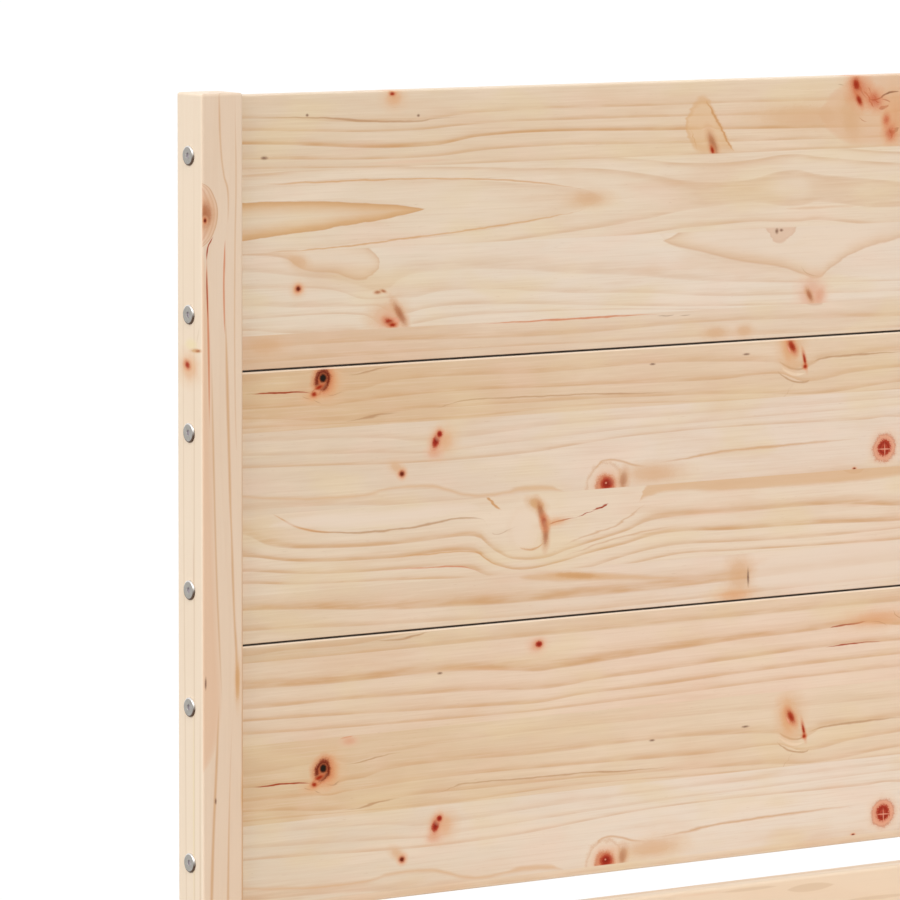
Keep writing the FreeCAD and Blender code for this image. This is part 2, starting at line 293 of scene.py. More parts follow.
PAINTS = {
    "amber": paint(
        (0, (198, 150, 98), 0.0), (0.7, (202, 154, 102), 0.85), (3, (210, 166, 116), 0.8),
        (6, (215, 177, 134), 0.55), (10, (222, 190, 152), 0.2), (13, (224, 196, 164), 0.0),
    ),
    "lobe": paint(
        (0, (206, 166, 128), 0.0), (1.4, (206, 166, 128), 0.6), (4, (215, 182, 148), 0.5),
        (8, (223, 197, 170), 0.4), (12, (225, 203, 180), 0.35),
    ),
    "flame": paint(
        (0, (216, 176, 134), 0.0), (3.5, (213, 170, 124), 0.55), (6, (214, 172, 126), 0.7),
        (10, (220, 184, 142), 0.6),
    ),
    "band": paint((0, (212, 174, 134), 0.0), (2.2, (212, 173, 132), 0.6), (4, (212, 173, 132), 0.7)),
    "blush": paint((0, (219, 180, 148), 0.0), (2.2, (219, 180, 148), 0.4), (5, (219, 180, 148), 0.6)),
    "fog": paint((0, (208, 172, 144), 0.0), (1.2, (208, 170, 142), 0.6), (4, (214, 180, 154), 0.6)),
    "milk": paint((0, (229, 212, 195), 0.0), (2.4, (229, 212, 195), 0.5), (6, (229, 213, 197), 0.7)),
    "line": paint((0, (186, 144, 106), 0.0), (0.9, (184, 142, 104), 0.75)),
    "soft": paint((0, (206, 164, 124), 0.0), (1.5, (204, 162, 122), 0.8)),
    "dusk": paint((0, (150, 108, 78), 0.0), (0.6, (146, 102, 74), 0.8)),
    "rust": paint((0, (190, 104, 66), 0.0), (0.5, (162, 64, 34), 0.9), (0.9, (150, 50, 24), 1.0)),
    "crack": paint((0, (150, 82, 52), 0.0), (0.4, (108, 46, 24), 0.95), (0.9, (84, 30, 14), 1.0)),
    "rose": paint((0, (208, 132, 94), 0.0), (0.7, (205, 126, 88), 0.8)),
    "gilt": paint((0, (210, 162, 110), 0.0), (1.2, (203, 153, 103), 0.9)),
    "mark": paint(
        (0, (196, 148, 112), 0.0), (0.6, (196, 148, 112), 0.75), (2, (219, 182, 150), 0.5),
        (3.4, (205, 158, 126), 0.65), (5, (222, 184, 154), 0.5), (7, (204, 150, 120), 0.65),
        (9, (214, 170, 142), 0.6), (12, (190, 124, 96), 0.8),
    ),
    "haze": paint((0, (216, 194, 166), 0.0), (1.0, (214, 190, 162), 0.6)),
    "straw": paint((0, (232, 214, 176), 0.0), (1.6, (230, 212, 172), 0.7)),
    "chip": paint((0, (232, 212, 188), 0.0), (0.8, (233, 214, 190), 0.9)),
}

# Sizes on a board are in mm: u along the grain and v across it. On the headboard, u starts at the left
# post's outer face and v 2 mm above the board's top. On a post, u starts at its top, and v at its left
# front edge, with the front face above 0 and the side face below 0.
Line = namedtuple("Line", "gold thin points")
Strip = namedtuple("Strip", "end left right lines")
Tongues = namedtuple("Tongues", "end left right axis rings spread gold thin")
Knot = namedtuple("Knot", "kind u v long high tilt bend", defaults=(0.0, 0.0))
Patch = namedtuple("Patch", "kind v upper lower")
Figure = namedtuple("Figure", "strips knots patches stretch drop above below")

# The sheet that the panels' figures are drawn on. Its u of SHEET_START lies BED_START mm from the post's
# outer face, and its v of SHEET_TOP at the panel's top.
SHEET_LENGTH = 1470
SHEET_LOW = -20
SHEET_RISE = 250
SHEET_START = 40
BED_START = 41
SHEET_TOP = 2
# The bottom panel repeats what the middle panel shows down to here, and this much lower.
PLANK_END = 108
PLANK_DROP = 88

# A stroke's half width, with its soft edge, against its width, the share of its length over which it runs
# out, and how far its edges cross at its ends, in mm.
HALF_STROKE = 0.68
RUN_OUT = 0.2
CLOSED = 0.1


def stroke(kind, width, *points):
    """A line through points (u, v) that is width mm wide and runs out at both ends."""
    first, last = points[0][0], points[-1][0]
    upper, lower = [], []
    for place, height in points:
        share = min(place - first, last - place) / (last - first)
        half = width * HALF_STROKE * min(1.0, share / RUN_OUT) - (CLOSED if share == 0 else 0)
        upper.append((place, height - half))
        lower.append((place, height + half))
    return Patch(kind, points[len(points) // 2][1], upper, lower)


def lens(kind, upper, lower):
    """An area between two lines."""
    return Patch(kind, lower[len(lower) // 2][1], upper, lower)


TOP_STRIPS = [
    Strip(57, (219, 199, 174), (224, 203, 178), [
        Line(0.2, 0.2, [(0, 8), (180, 13), (260, 9), (420, 10), (640, 12), (1470, 14)]),
        Line(0.5, 0.5, [(0, 17), (40, 18), (185, 24), (240, 20), (420, 19), (640, 20), (1470, 24)]),
        Line(0.6, 0.5, [(0, 26), (40, 27), (185, 31), (250, 28), (420, 28), (640, 31), (1470, 33)]),
        Line(1.0, 0.4, [(0, 37), (40, 37), (200, 43), (250, 37), (420, 38), (640, 42), (1470, 44)]),
        Line(0.6, 0.5, [(0, 47), (40, 48), (200, 51), (260, 47), (420, 48), (640, 50), (1470, 52)]),
        Line(0.5, 0.4, [(0, 55), (40, 55), (200, 58), (640, 57), (1470, 59)]),
    ]),
    Tongues(
        116, (223, 206, 184), (226, 209, 188),
        [(0, 92), (40, 92), (100, 89.5), (150, 88), (197, 89), (280, 88.5), (357, 87), (455, 88),
         (540, 86), (640, 94), (800, 90), (1000, 84), (1200, 90), (1470, 94)],
        [(0, 0.6), (40, 0.71), (100, 0.73), (150, 0.87), (197, 1.0), (240, 1.23), (280, 1.5), (320, 1.75),
         (357, 2.0), (400, 2.41), (455, 2.8), (490, 2.84), (540, 2.6), (560, 2.75), (625, 2.75),
         (760, 3.4), (900, 3.9), (1040, 3.3), (1200, 2.4), (1330, 1.7), (1470, 1.3)],
        22.2, [0.15, 0.25, 0.45, 0.5, 0.5, 0.6], [0.2, 0.5, 0.5, 0.4, 0.5, 0.5],
    ),
    Strip(176, (224, 209, 189), (227, 213, 197), [
        Line(0.0, 0.0, [(0, 100), (400, 104), (1470, 104)]),
        Line(0.1, 0.1, [(0, 112), (405, 113), (412, 118), (416, 123), (430, 129), (450, 136), (490, 145),
                        (510, 149), (548, 154), (640, 157), (1470, 150)]),
        Line(0.3, 0.6, [(0, 128), (40, 129), (95, 136), (120, 139), (138, 144), (160, 149), (175, 141),
                        (190, 137), (220, 136), (260, 137), (335, 144), (380, 147), (440, 153),
                        (520, 158), (640, 162), (1470, 160)]),
        Line(0.3, 0.7, [(0, 142), (40, 142), (110, 145), (155, 156), (180, 156), (215, 151), (335, 158),
                        (400, 161), (460, 166), (520, 168), (640, 170), (1470, 168)]),
        Line(0.4, 0.8, [(0, 153), (40, 154), (80, 157), (150, 160), (175, 166), (200, 163), (230, 162),
                        (335, 167), (440, 173), (640, 178), (1470, 176)]),
        Line(0.4, 0.6, [(0, 164), (40, 164), (140, 165), (170, 174), (230, 170), (640, 184),
                        (1470, 182)]),
        Line(0.5, 0.5, [(0, 172), (40, 172), (80, 176), (240, 180), (1470, 190)]),
    ]),
    Strip(210, (215, 186, 157), (223, 204, 183), [
        Line(0.2, 0.1, [(0, 172), (1470, 176)]),
        Line(0.5, 0.4, [(0, 188), (120, 185), (300, 189), (470, 186), (640, 190), (1470, 188)]),
        Line(0.4, 0.4, [(0, 197), (200, 195), (640, 199), (1470, 196)]),
    ]),
]

MIDDLE_STRIPS = [
    Strip(47.5, (212, 182, 146), (221, 198, 172), [
        Line(0.3, 0.3, [(0, -12), (1470, -12)]),
        Line(0.2, 0.9, [(0, 10), (40, 10), (100, 7), (130, 9), (150, 6), (180, 3), (640, 2), (1470, 6)]),
        Line(0.5, 0.9, [(0, 19), (100, 20), (140, 21), (160, 17), (200, 15), (300, 17), (403, 15.5),
                        (480, 18), (520, 21), (548, 26), (565, 20), (625, 18), (1470, 17)]),
        Line(0.6, 0.8, [(0, 28), (120, 30), (200, 27), (360, 29), (460, 31), (525, 30), (548, 37),
                        (600, 32), (1470, 28)]),
        Line(0.5, 1.0, [(0, 36), (60, 38), (130, 43), (170, 39), (205, 38), (240, 38.5), (335, 39),
                        (420, 41), (500, 44), (560, 47), (640, 42), (1470, 39)]),
        Line(0.5, 0.6, [(0, 44), (125, 45), (200, 47), (335, 44), (480, 48), (640, 48), (1470, 47)]),
    ]),
    Strip(108, (218, 199, 176), (226, 210, 194), [
        Line(0.0, 0.0, [(0, 42), (1470, 44)]),
        Line(0.25, 0.6, [(0, 52), (40, 54), (160, 58), (190, 62), (225, 62), (300, 58), (430, 56),
                         (1470, 55)]),
        Line(0.3, 0.6, [(0, 62), (40, 64), (160, 69), (200, 71), (230, 70), (300, 67), (430, 63),
                        (1470, 63)]),
        Line(0.5, 0.6, [(0, 72), (100, 75), (190, 78), (280, 77), (335, 73), (400, 69), (640, 70),
                        (1470, 73)]),
        Line(0.0, 0.0, [(0, 88), (640, 82), (1470, 86)]),
        Line(0.4, 0.4, [(0, 104), (130, 106), (165, 109), (320, 122), (640, 110), (1470, 97)]),
    ]),
    Strip(167, (223, 205, 182), (227, 210, 190), [
        Line(0.0, 0.0, [(0, 84), (1470, 94)]),
        Line(0.0, 0.0, [(0, 96), (40, 100), (62, 107), (75, 114), (90, 120), (120, 125), (150, 126),
                        (180, 125), (210, 123), (240, 122), (252, 129), (265, 140), (275, 148),
                        (290, 149), (302, 148), (325, 144), (345, 141), (370, 136), (385, 129),
                        (400, 121), (420, 116), (470, 118), (640, 121), (1470, 118)]),
        Line(0.8, 0.6, [(0, 116), (40, 122), (60, 131), (75, 134), (100, 136), (150, 138), (200, 137),
                        (235, 136), (245, 138), (255, 146), (265, 152), (280, 157), (300, 158),
                        (325, 153), (350, 148), (380, 142), (400, 136), (420, 134), (480, 134),
                        (560, 134), (600, 136), (640, 140), (1470, 132)]),
        Line(0.9, 0.6, [(0, 136), (40, 138), (80, 144), (120, 147), (160, 148), (235, 147), (243, 149),
                        (250, 154), (262, 160), (285, 165), (310, 163), (350, 156), (380, 152),
                        (400, 148), (420, 146), (480, 148), (560, 149), (640, 152), (1470, 146)]),
        Line(0.6, 0.8, [(0, 148), (40, 149), (90, 154), (130, 156), (200, 157), (235, 160), (245, 164),
                        (252, 167), (285, 173), (330, 170), (380, 161), (400, 158), (430, 156),
                        (470, 157), (560, 159), (640, 158), (1470, 157)]),
        Line(0.7, 0.5, [(0, 158), (40, 158), (80, 161), (130, 163), (200, 166), (230, 168), (300, 178),
                        (400, 166), (430, 163), (480, 164), (640, 167), (1470, 168)]),
        Line(0.0, 0.0, [(0, 178), (1470, 180)]),
    ]),
    Strip(210, (219, 198, 172), (226, 209, 192), [
        Line(0.0, 0.0, [(0, 160), (1470, 160)]),
        Line(0.9, 0.5, [(0, 178), (40, 178), (80, 180), (160, 186), (200, 188), (335, 190), (640, 184),
                        (1470, 186)]),
        Line(0.5, 0.5, [(0, 193), (40, 193), (160, 197), (300, 200), (640, 196), (1470, 196)]),
    ]),
]


def lowered(points):
    return [(u, v + PLANK_DROP) for u, v in points]


def repeated(strip):
    """The same strip of wood further down and a little paler, as two boards cut from one plank show it."""
    lines = [line._replace(points=lowered(line.points)) for line in strip.lines]
    paler = np.array([2, 6, 8])
    return Strip(strip.end + PLANK_DROP, strip.left + paler, strip.right + paler, lines)


BOTTOM_STRIPS = [
    Strip(15, (212, 188, 158), (224, 202, 178), [
        Line(0.0, 0.0, [(0, -6), (1470, -6)]),
        Line(0.4, 1.0, [(0, 9.5), (40, 10), (80, 8), (120, 9), (200, 3), (1470, 4)]),
        Line(0.5, 0.8, [(0, 16), (640, 14), (1470, 16)]),
    ]),
    Strip(76, (222, 201, 177), (228, 206, 186), [
        Line(0.0, 0.0, [(0, 12), (1470, 16)]),
        Line(0.9, 0.5, [(0, 33), (40, 34.5), (100, 36), (230, 36), (280, 40), (300, 42), (320, 41),
                        (380, 38), (440, 35), (480, 33), (560, 31), (600, 29), (640, 33), (1470, 34)]),
        Line(0.7, 0.6, [(0, 48), (40, 49), (120, 49), (200, 51), (260, 53), (300, 56), (325, 55),
                        (345, 53), (400, 51), (440, 49), (500, 47), (560, 45), (640, 45), (1470, 50)]),
        Line(0.7, 0.5, [(0, 57), (40, 58), (120, 60), (200, 63), (260, 65), (300, 66), (340, 63),
                        (400, 62), (480, 59), (640, 56), (1470, 62)]),
        Line(0.6, 0.5, [(0, 67), (40, 68), (140, 70), (200, 71), (300, 72), (400, 70), (640, 66),
                        (1470, 72)]),
        Line(0.3, 0.3, [(0, 80), (1470, 80)]),
    ]),
    repeated(MIDDLE_STRIPS[0]),
    repeated(MIDDLE_STRIPS[1]),
    Strip(210, (222, 202, 177), (227, 210, 189), [
        Line(0.0, 0.0, [(0, 190), (1470, 190)]),
        Line(0.4, 0.4, [(0, 201), (1470, 201)]),
    ]),
]

TOP_PATCHES = [
    stroke("line", 1.4, (36, 17), (100, 19), (185, 24), (205, 23), (232, 21)),
    stroke("dusk", 0.7, (578, 7), (582, 7.6), (586, 8.6)),
    lens("blush", [(560, 30), (590, 4), (610, 0), (660, 0), (700, 12)],
         [(560, 30), (590, 54), (610, 56.6), (660, 56.6), (700, 50)]),
    lens("flame", [(433, 36), (438, 22), (445, 13), (452, 11), (462, 24), (472, 40), (481, 56.8)],
         [(433, 36), (438, 48), (446, 56.6), (470, 56.6), (481, 56.8)]),
    stroke("gilt", 3.2, (451, 13), (460, 26), (468, 38), (475, 50), (480, 56)),
    stroke("gilt", 1.8, (438, 34), (442, 45), (447, 56)),
    lens("blush", [(140, 54), (160, 52), (190, 51), (224, 54)],
         [(140, 54), (160, 56), (190, 56.5), (224, 54)]),
    lens("amber", [(36, 78.5), (60, 78.5), (100, 79.5), (130, 81.5), (150, 83), (180, 86), (198, 89)],
         [(36, 107), (60, 105), (100, 102), (130, 99), (150, 97), (180, 93), (198, 89)]),
    stroke("gilt", 1.5, (36, 66), (100, 66), (180, 66.5), (240, 68.5), (290, 72.5), (330, 78), (350, 83),
           (360, 87)),
    stroke("gilt", 1.5, (36, 116), (100, 115), (180, 110.5), (240, 106), (300, 100.5), (335, 96),
           (352, 91), (360, 87)),
    lens("band", [(530, 102), (545, 100), (585, 100.5), (606, 102)],
         [(530, 102), (545, 103.5), (585, 103.5), (606, 102)]),
    lens("lobe", [(30, 108), (140, 112), (147, 115), (152, 119), (157, 126)],
         [(30, 117.5), (60, 119), (75, 121.5), (85, 127), (95, 131.5), (118, 134), (130, 138), (140, 140),
          (149, 137.5), (157, 126)]),
    lens("lobe", [(414, 122), (422, 117.5), (432, 113), (470, 100), (720, 100)],
         [(414, 122), (423, 126), (449, 132), (487, 141), (525, 147), (548, 154), (560, 157), (572, 151),
          (588, 143), (610, 135), (641, 130), (700, 122), (720, 100)]),
    stroke("line", 1.0, (545, 145), (549, 151), (556, 154), (566, 155)),
    lens("fog", [(510, 116), (514, 108), (538, 108), (542, 116)],
         [(510, 116), (514, 120), (520, 127.5), (526, 128.5), (533, 125), (542, 116)]),
    lens("fog", [(538, 165), (545, 158), (552, 154.5), (560, 158), (566, 166), (570, 173)],
         [(538, 165), (543, 172), (552, 177), (561, 178), (567, 177), (570, 173)]),
    stroke("rose", 1.5, (244, 176.6), (300, 177), (360, 177), (412, 177.4)),
    stroke("dusk", 0.7, (408, 178), (416, 178.6), (425, 178)),
    stroke("dusk", 0.7, (429, 179), (435, 179.4), (441, 179)),
    stroke("rust", 0.9, (600, 32), (604, 36), (609, 37)),
    stroke("crack", 1.8, (596, 3), (600, 9), (604, 15), (607, 20)),
    stroke("rust", 3.0, (593, 11), (597, 15.5), (600, 22)),
    stroke("rust", 2.2, (603, 13), (608, 16), (611, 22), (616, 27)),
    stroke("rust", 1.3, (607, 10), (610, 12), (612, 17)),
    stroke("crack", 1.5, (609, 16), (614, 20.5), (619, 19.5), (625, 16), (631, 14.6), (642, 15)),
    stroke("rust", 1.4, (612, 14), (616, 19), (618, 22), (622, 22.5)),
    lens("rust", [(619, 27), (622, 25), (626, 25), (630, 24)],
         [(619, 27), (622, 28.5), (626, 27.5), (630, 24)]),
    stroke("rust", 1.2, (620, 20), (626, 20.6), (630, 23)),
    stroke("crack", 2.4, (629, 41), (633, 46), (637, 44), (642, 43)),
    stroke("rust", 2.4, (631, 52), (633, 48), (636, 45)),
]

MIDDLE_PATCHES = [
    stroke("line", 0.9, (36, 19.2), (60, 18.6), (80, 19), (94, 19.8)),
    stroke("rust", 1.2, (44, 19.4), (60, 19), (84, 19.3), (92, 20), (98, 21.4), (101, 23)),
    stroke("crack", 1.3, (97, 22.8), (100, 18.6), (104, 16.3), (109, 17.6)),
    stroke("rust", 1.1, (98, 23.2), (102, 22.6), (107, 20.4), (111, 18.4)),
    stroke("chip", 1.7, (100.5, 20.6), (103.5, 19.4), (107, 18.8), (109.5, 18.6)),
    stroke("dusk", 0.8, (99, 25.5), (102, 27.4), (107, 29.6)),
    stroke("dusk", 0.8, (110, 20.5), (114, 23.4), (119, 22.6), (124, 20)),
    stroke("dusk", 0.7, (90, 22.6), (95, 25), (100, 25.6)),
    stroke("line", 1.3, (190, 38.6), (205, 38), (220, 35), (236, 33.4), (290, 34.4), (340, 35), (380, 37),
           (440, 38)),
    stroke("line", 1.4, (122, 44), (140, 42.6), (160, 40), (180, 39.4)),
    stroke("line", 1.3, (122, 10.2), (140, 8.6), (156, 6), (180, 3.6)),
    stroke("line", 1.8, (521, 18.5), (530, 24), (538, 26.6), (546, 26.2), (551, 24)),
    stroke("chip", 2.2, (523, 22.5), (530, 28), (539, 30.6), (549, 29.4)),
    stroke("line", 1.6, (520, 26), (528, 32.4), (538, 36.4), (547, 37.2), (553, 35)),
    stroke("line", 1.8, (548, 26), (556, 21.6), (566, 19.4), (600, 18.4), (660, 18.6)),
    lens("band",
         [(36, 91), (80, 95.4), (110, 96.6), (150, 96.4), (168, 93.2), (195, 93.2), (215, 97),
          (235, 102.6), (250, 104), (270, 102.6), (285, 100.4), (305, 101), (316, 104.4), (324, 109)],
         [(36, 95), (80, 99.6), (110, 101.4), (145, 101), (168, 97.4), (195, 98), (215, 101.6),
          (235, 107), (250, 108.5), (270, 107), (285, 106.5), (305, 107), (316, 108), (324, 109)]),
    stroke("soft", 2.0, (342, 110), (345, 99), (352, 91), (362, 86.5), (374, 88), (386, 91.6),
           (402, 93.4)),
    stroke("soft", 2.2, (396, 92), (430, 90), (470, 86.4), (540, 85), (612, 84)),
    lens("fog", [(584, 107), (589, 103.6), (596, 102), (602, 104), (607, 107)],
         [(584, 107), (590, 111), (596, 112), (602, 111), (607, 107)]),
    stroke("gilt", 1.9, (60, 105.6), (68, 110), (78, 115.6), (90, 120.4), (104, 123.4), (130, 125.8)),
    stroke("line", 1.7, (92, 121.6), (120, 125.4), (150, 126.8), (182, 126), (205, 123.8), (232, 122.2),
           (246, 123.4), (252, 128), (260, 135)),
    stroke("gilt", 1.5, (150, 147.4), (190, 147), (225, 146.8), (240, 148), (252, 154.6), (266, 161),
           (280, 164)),
    stroke("rose", 1.1, (140, 156), (200, 157), (226, 158), (238, 160.6), (246, 164), (253, 168)),
    stroke("gilt", 2.6, (246, 104), (254, 109), (260, 115), (268, 119)),
    stroke("line", 0.9, (256, 134), (262, 136.4), (272, 134), (284, 129.6)),
    stroke("rust", 1.1, (305, 132.4), (310, 131.2), (322, 129.6), (337, 128)),
    stroke("rust", 0.9, (330, 129), (342, 126.2), (352, 123)),
    stroke("rust", 1.2, (346, 124), (353, 122.6), (359, 120.8), (364, 119)),
    stroke("gilt", 1.9, (282, 147), (289, 149.6), (297, 149), (303, 144.6)),
    lens("band", [(392, 121), (402, 106), (640, 106), (670, 110)],
         [(392, 121), (404, 117), (420, 115.2), (470, 117.6), (540, 118.6), (620, 118), (670, 110)]),
    stroke("blush", 2.6, (404, 111), (418, 111.4), (438, 111)),
    stroke("soft", 1.8, (318, 150), (345, 142.4), (366, 138), (384, 130), (400, 120.6)),
    stroke("soft", 1.6, (318, 158), (350, 150.6), (372, 146.6), (400, 143), (430, 141)),
    stroke("blush", 2.6, (404, 134.4), (440, 133), (490, 134), (524, 134.4)),
    stroke("blush", 2.6, (572, 135), (600, 136.4), (628, 139)),
    lens("band", [(280, 170.6), (292, 168.4), (340, 170), (390, 175), (442, 183)],
         [(280, 170.6), (292, 174), (320, 177), (350, 178.4), (400, 181.6), (442, 183)]),
    lens("milk", [(494, 184), (500, 177), (510, 172), (530, 166), (640, 160), (900, 170)],
         [(494, 184), (500, 192), (520, 197), (640, 198), (900, 170)]),
    lens("milk", [(60, 118), (100, 110), (160, 110.6), (220, 109), (246, 117)],
         [(60, 118), (100, 121), (160, 124), (220, 120), (246, 117)]),
]

BOTTOM_PATCHES = [
    Patch(patch.kind, patch.v + PLANK_DROP, lowered(patch.upper), lowered(patch.lower))
    for patch in MIDDLE_PATCHES
    if patch.v < PLANK_END
] + [
    stroke("line", 1.4, (150, 5.6), (172, 7.4), (190, 5.4), (203, 3)),
    stroke("blush", 2.8, (180, 35), (230, 34.4), (262, 37), (292, 40)),
    stroke("blush", 2.4, (430, 33.4), (480, 31.2), (540, 29.6)),
    stroke("rust", 1.4, (570, 30.2), (582, 28.6), (596, 28.2), (610, 26.6)),
    stroke("dusk", 0.8, (606, 27.4), (616, 28), (622, 29.4), (629, 33.6)),
    stroke("rust", 1.0, (566, 45.2), (580, 44.2), (596, 43.6), (624, 44.8)),
    stroke("dusk", 0.9, (631, 18), (634, 22), (640, 27), (650, 29)),
    stroke("rose", 1.4, (121, 77.8), (128, 77.2), (135, 76)),
]

TOP_KNOTS = [
    Knot("orange", 169.5, 6.5, 6, 5),
    Knot("rust", 168, 3.4, 2.2, 1.4, 0, 0.4),
    Knot("shade", 94, 17, 1.3, 1.1),
    Knot("shade", 191, 20, 1.3, 1.1),
    Knot("shade", 57, 47, 3, 1.3),
    Knot("tan", 548, 31, 46, 8, 2),
    Knot("umber", 460, 50, 9, 3.2, 68, 0.3),
    Knot("rust", 459.6, 54.4, 3.2, 1.6, 70),
    Knot("tan", 592, 32, 9, 18, -12),
    Knot("orange", 636, 32, 10, 15),
    Knot("ember", 600, 12, 9, 11, -25, 0.3),
    Knot("ember", 615, 20, 9, 7, 30, 0.4),
    Knot("ember", 631, 46, 6, 7),
    Knot("rust", 597, 8, 3.4, 5, -20),
    Knot("rust", 600, 20, 4.6, 2.4, 60),
    Knot("ember", 627, 36, 4, 5),
    Knot("tan", 345, 87.3, 15, 5),
    Knot("tan", 86, 123.5, 8, 4.5, 20),
    Knot("orange", 86, 143.8, 3.6, 3.4),
    Knot("pin", 86.3, 143.4, 2.1, 2.0, 0, 0.6),
    Knot("umber", 155.5, 149, 2.6, 1.1),
    Knot("umber", 160.6, 148.4, 2.2, 1.0, 20),
    Knot("tan", 163, 166, 13, 9, -14, 0.3),
    Knot("pink", 166, 170, 8, 5.6),
    Knot("umber", 175, 166, 9, 2.8, 58),
    Knot("chalk", 171, 171, 3.4, 2.6),
    Knot("rust", 166, 171.6, 4.6, 2.4, 24, 0.5),
    Knot("rust", 168.6, 173.8, 3, 1.5),
    Knot("shade", 521.6, 118.6, 1.7, 2.2),
    Knot("shade", 526, 118, 1.8, 1.2),
    Knot("pink", 556, 168, 9, 9),
    Knot("pink", 563, 171, 4, 5.6, 20),
    Knot("umber", 553.6, 169.4, 4.8, 2.1, 60),
    Knot("tan", 58, 184, 15, 6),
    Knot("tan", 464, 194, 10, 4),
    Knot("tan", 491, 194, 7, 4),
    Knot("great", 792, 84, 8.5, 7, 10, 0.7),
    Knot("ruby", 930, 34, 4, 3.4, 0, 0.7),
    Knot("pink", 1046, 148, 9, 6, 6, 0.7),
    Knot("umber", 1046, 148, 3.4, 2.2, 6),
    Knot("bark", 1188, 66, 5, 4.4, 20, 0.7),
    Knot("great", 1306, 160, 8, 6.4, 0, 0.7),
    Knot("pin", 1250, 26, 2.4, 2, 0, 0.5),
]

MIDDLE_KNOTS = [
    Knot("ember", 112, 14, 5, 8, 10),
    Knot("orange", 113, 13, 7, 9, 0, 0.4),
    Knot("orange", 99, 23.5, 6, 3),
    Knot("bark", 106.8, 11.6, 5.9, 7.2, 20, 0.5),
    Knot("hole", 107.3, 10.4, 2.5, 2.7),
    Knot("rust", 104, 17, 3.4, 1.4, -20),
    Knot("rust", 99.6, 21.8, 2.4, 1.8),
    Knot("tan", 534, 9, 10, 14),
    Knot("orange", 531, 9, 5, 10, -10, 0.4),
    Knot("rust", 534.6, 8.6, 5.8, 2.8, 58),
    Knot("chalk", 531.6, 11, 3.6, 0.8, 60),
    Knot("rust", 546.8, 20, 5.6, 1.3, 76),
    Knot("rust", 547.4, 25, 1.9, 1.6),
    Knot("shade", 403, 15.6, 2.6, 0.9),
    Knot("shade", 491, 12.6, 3.4, 0.9),
    Knot("orange", 213, 63, 7, 6.5),
    Knot("pink", 205, 71.5, 5, 3.4),
    Knot("ruby", 206.2, 62.8, 3.2, 5.2, 20, 0.6),
    Knot("ruby", 209.6, 57.6, 2.4, 2.4, 0, 0.4),
    Knot("tan", 172, 80.5, 6, 3.4, 30),
    Knot("pin", 176.4, 85.4, 2.2, 2.1, 0, 0.5),
    Knot("shell", 359.6, 106.6, 8.6, 9.2, 0, 0.6),
    Knot("ruby", 361, 104.4, 6.2, 5.4),
    Knot("chalk", 360.4, 103.8, 0.9, 0.8),
    Knot("umber", 376.6, 102, 3.6, 6, 10),
    Knot("tan", 404, 99, 22, 6),
    Knot("pin", 596, 107.6, 1.3, 0.8),
    Knot("great", 625, 93, 10.6, 11, 60, 0.6),
    Knot("chalk", 625.6, 94, 7, 0.55, 2),
    Knot("chalk", 625.6, 95, 5.4, 0.5, 88),
    Knot("pale", 287, 133.5, 15, 16),
    Knot("gold", 296.4, 115.6, 7.4, 4, 24),
    Knot("umber", 301.2, 123, 8, 2.6, 72),
    Knot("umber", 305.4, 138.5, 8.4, 2.6, 92),
    Knot("rust", 304.2, 130.4, 4.6, 2.8, 74),
    Knot("orange", 313, 130.5, 8, 2.4, -6),
    Knot("gold", 334, 172.6, 22, 2.4, 6),
    Knot("tan", 485.5, 183, 10, 12),
    Knot("shade", 494.4, 185.5, 6.4, 1.1, 88),
    Knot("orange", 481, 198.6, 13, 3.4),
    Knot("great", 764, 34, 7, 5.6, 0, 0.7),
    Knot("pink", 884, 146, 8, 6, 0, 0.7),
    Knot("umber", 884, 146, 3, 2),
    Knot("great", 1012, 70, 8, 7, 15, 0.7),
    Knot("pin", 1092, 182, 3, 2.6, 0, 0.6),
    Knot("bark", 1214, 132, 6, 5, 0, 0.7),
    Knot("ruby", 1342, 58, 4.2, 3.6, 0, 0.7),
]

BOTTOM_KNOTS = [
    knot._replace(v=knot.v + PLANK_DROP)
    for knot in MIDDLE_KNOTS
    if knot.v < PLANK_END and knot.u < 700
] + [
    Knot("pink", 296.4, 21.8, 5.4, 4.4, 0, 0.5),
    Knot("ruby", 298.6, 20.8, 3.2, 2.4, 0, 0.4),
    Knot("shade", 209.6, 35.8, 2.4, 1.0),
    Knot("pink", 130, 80, 5, 2.6),
    Knot("orange", 618, 26, 22, 5),
    Knot("great", 742, 150, 7.4, 6, 0, 0.7),
    Knot("pink", 868, 46, 9, 6, 0, 0.7),
    Knot("umber", 868, 46, 3.4, 2),
    Knot("bark", 982, 122, 5.6, 4.6, 12, 0.7),
    Knot("ruby", 1124, 36, 4, 3.4, 0, 0.7),
    Knot("great", 1260, 166, 8, 6.6, 0, 0.7),
    Knot("pin", 1370, 96, 2.6, 2.2, 0, 0.6),
]

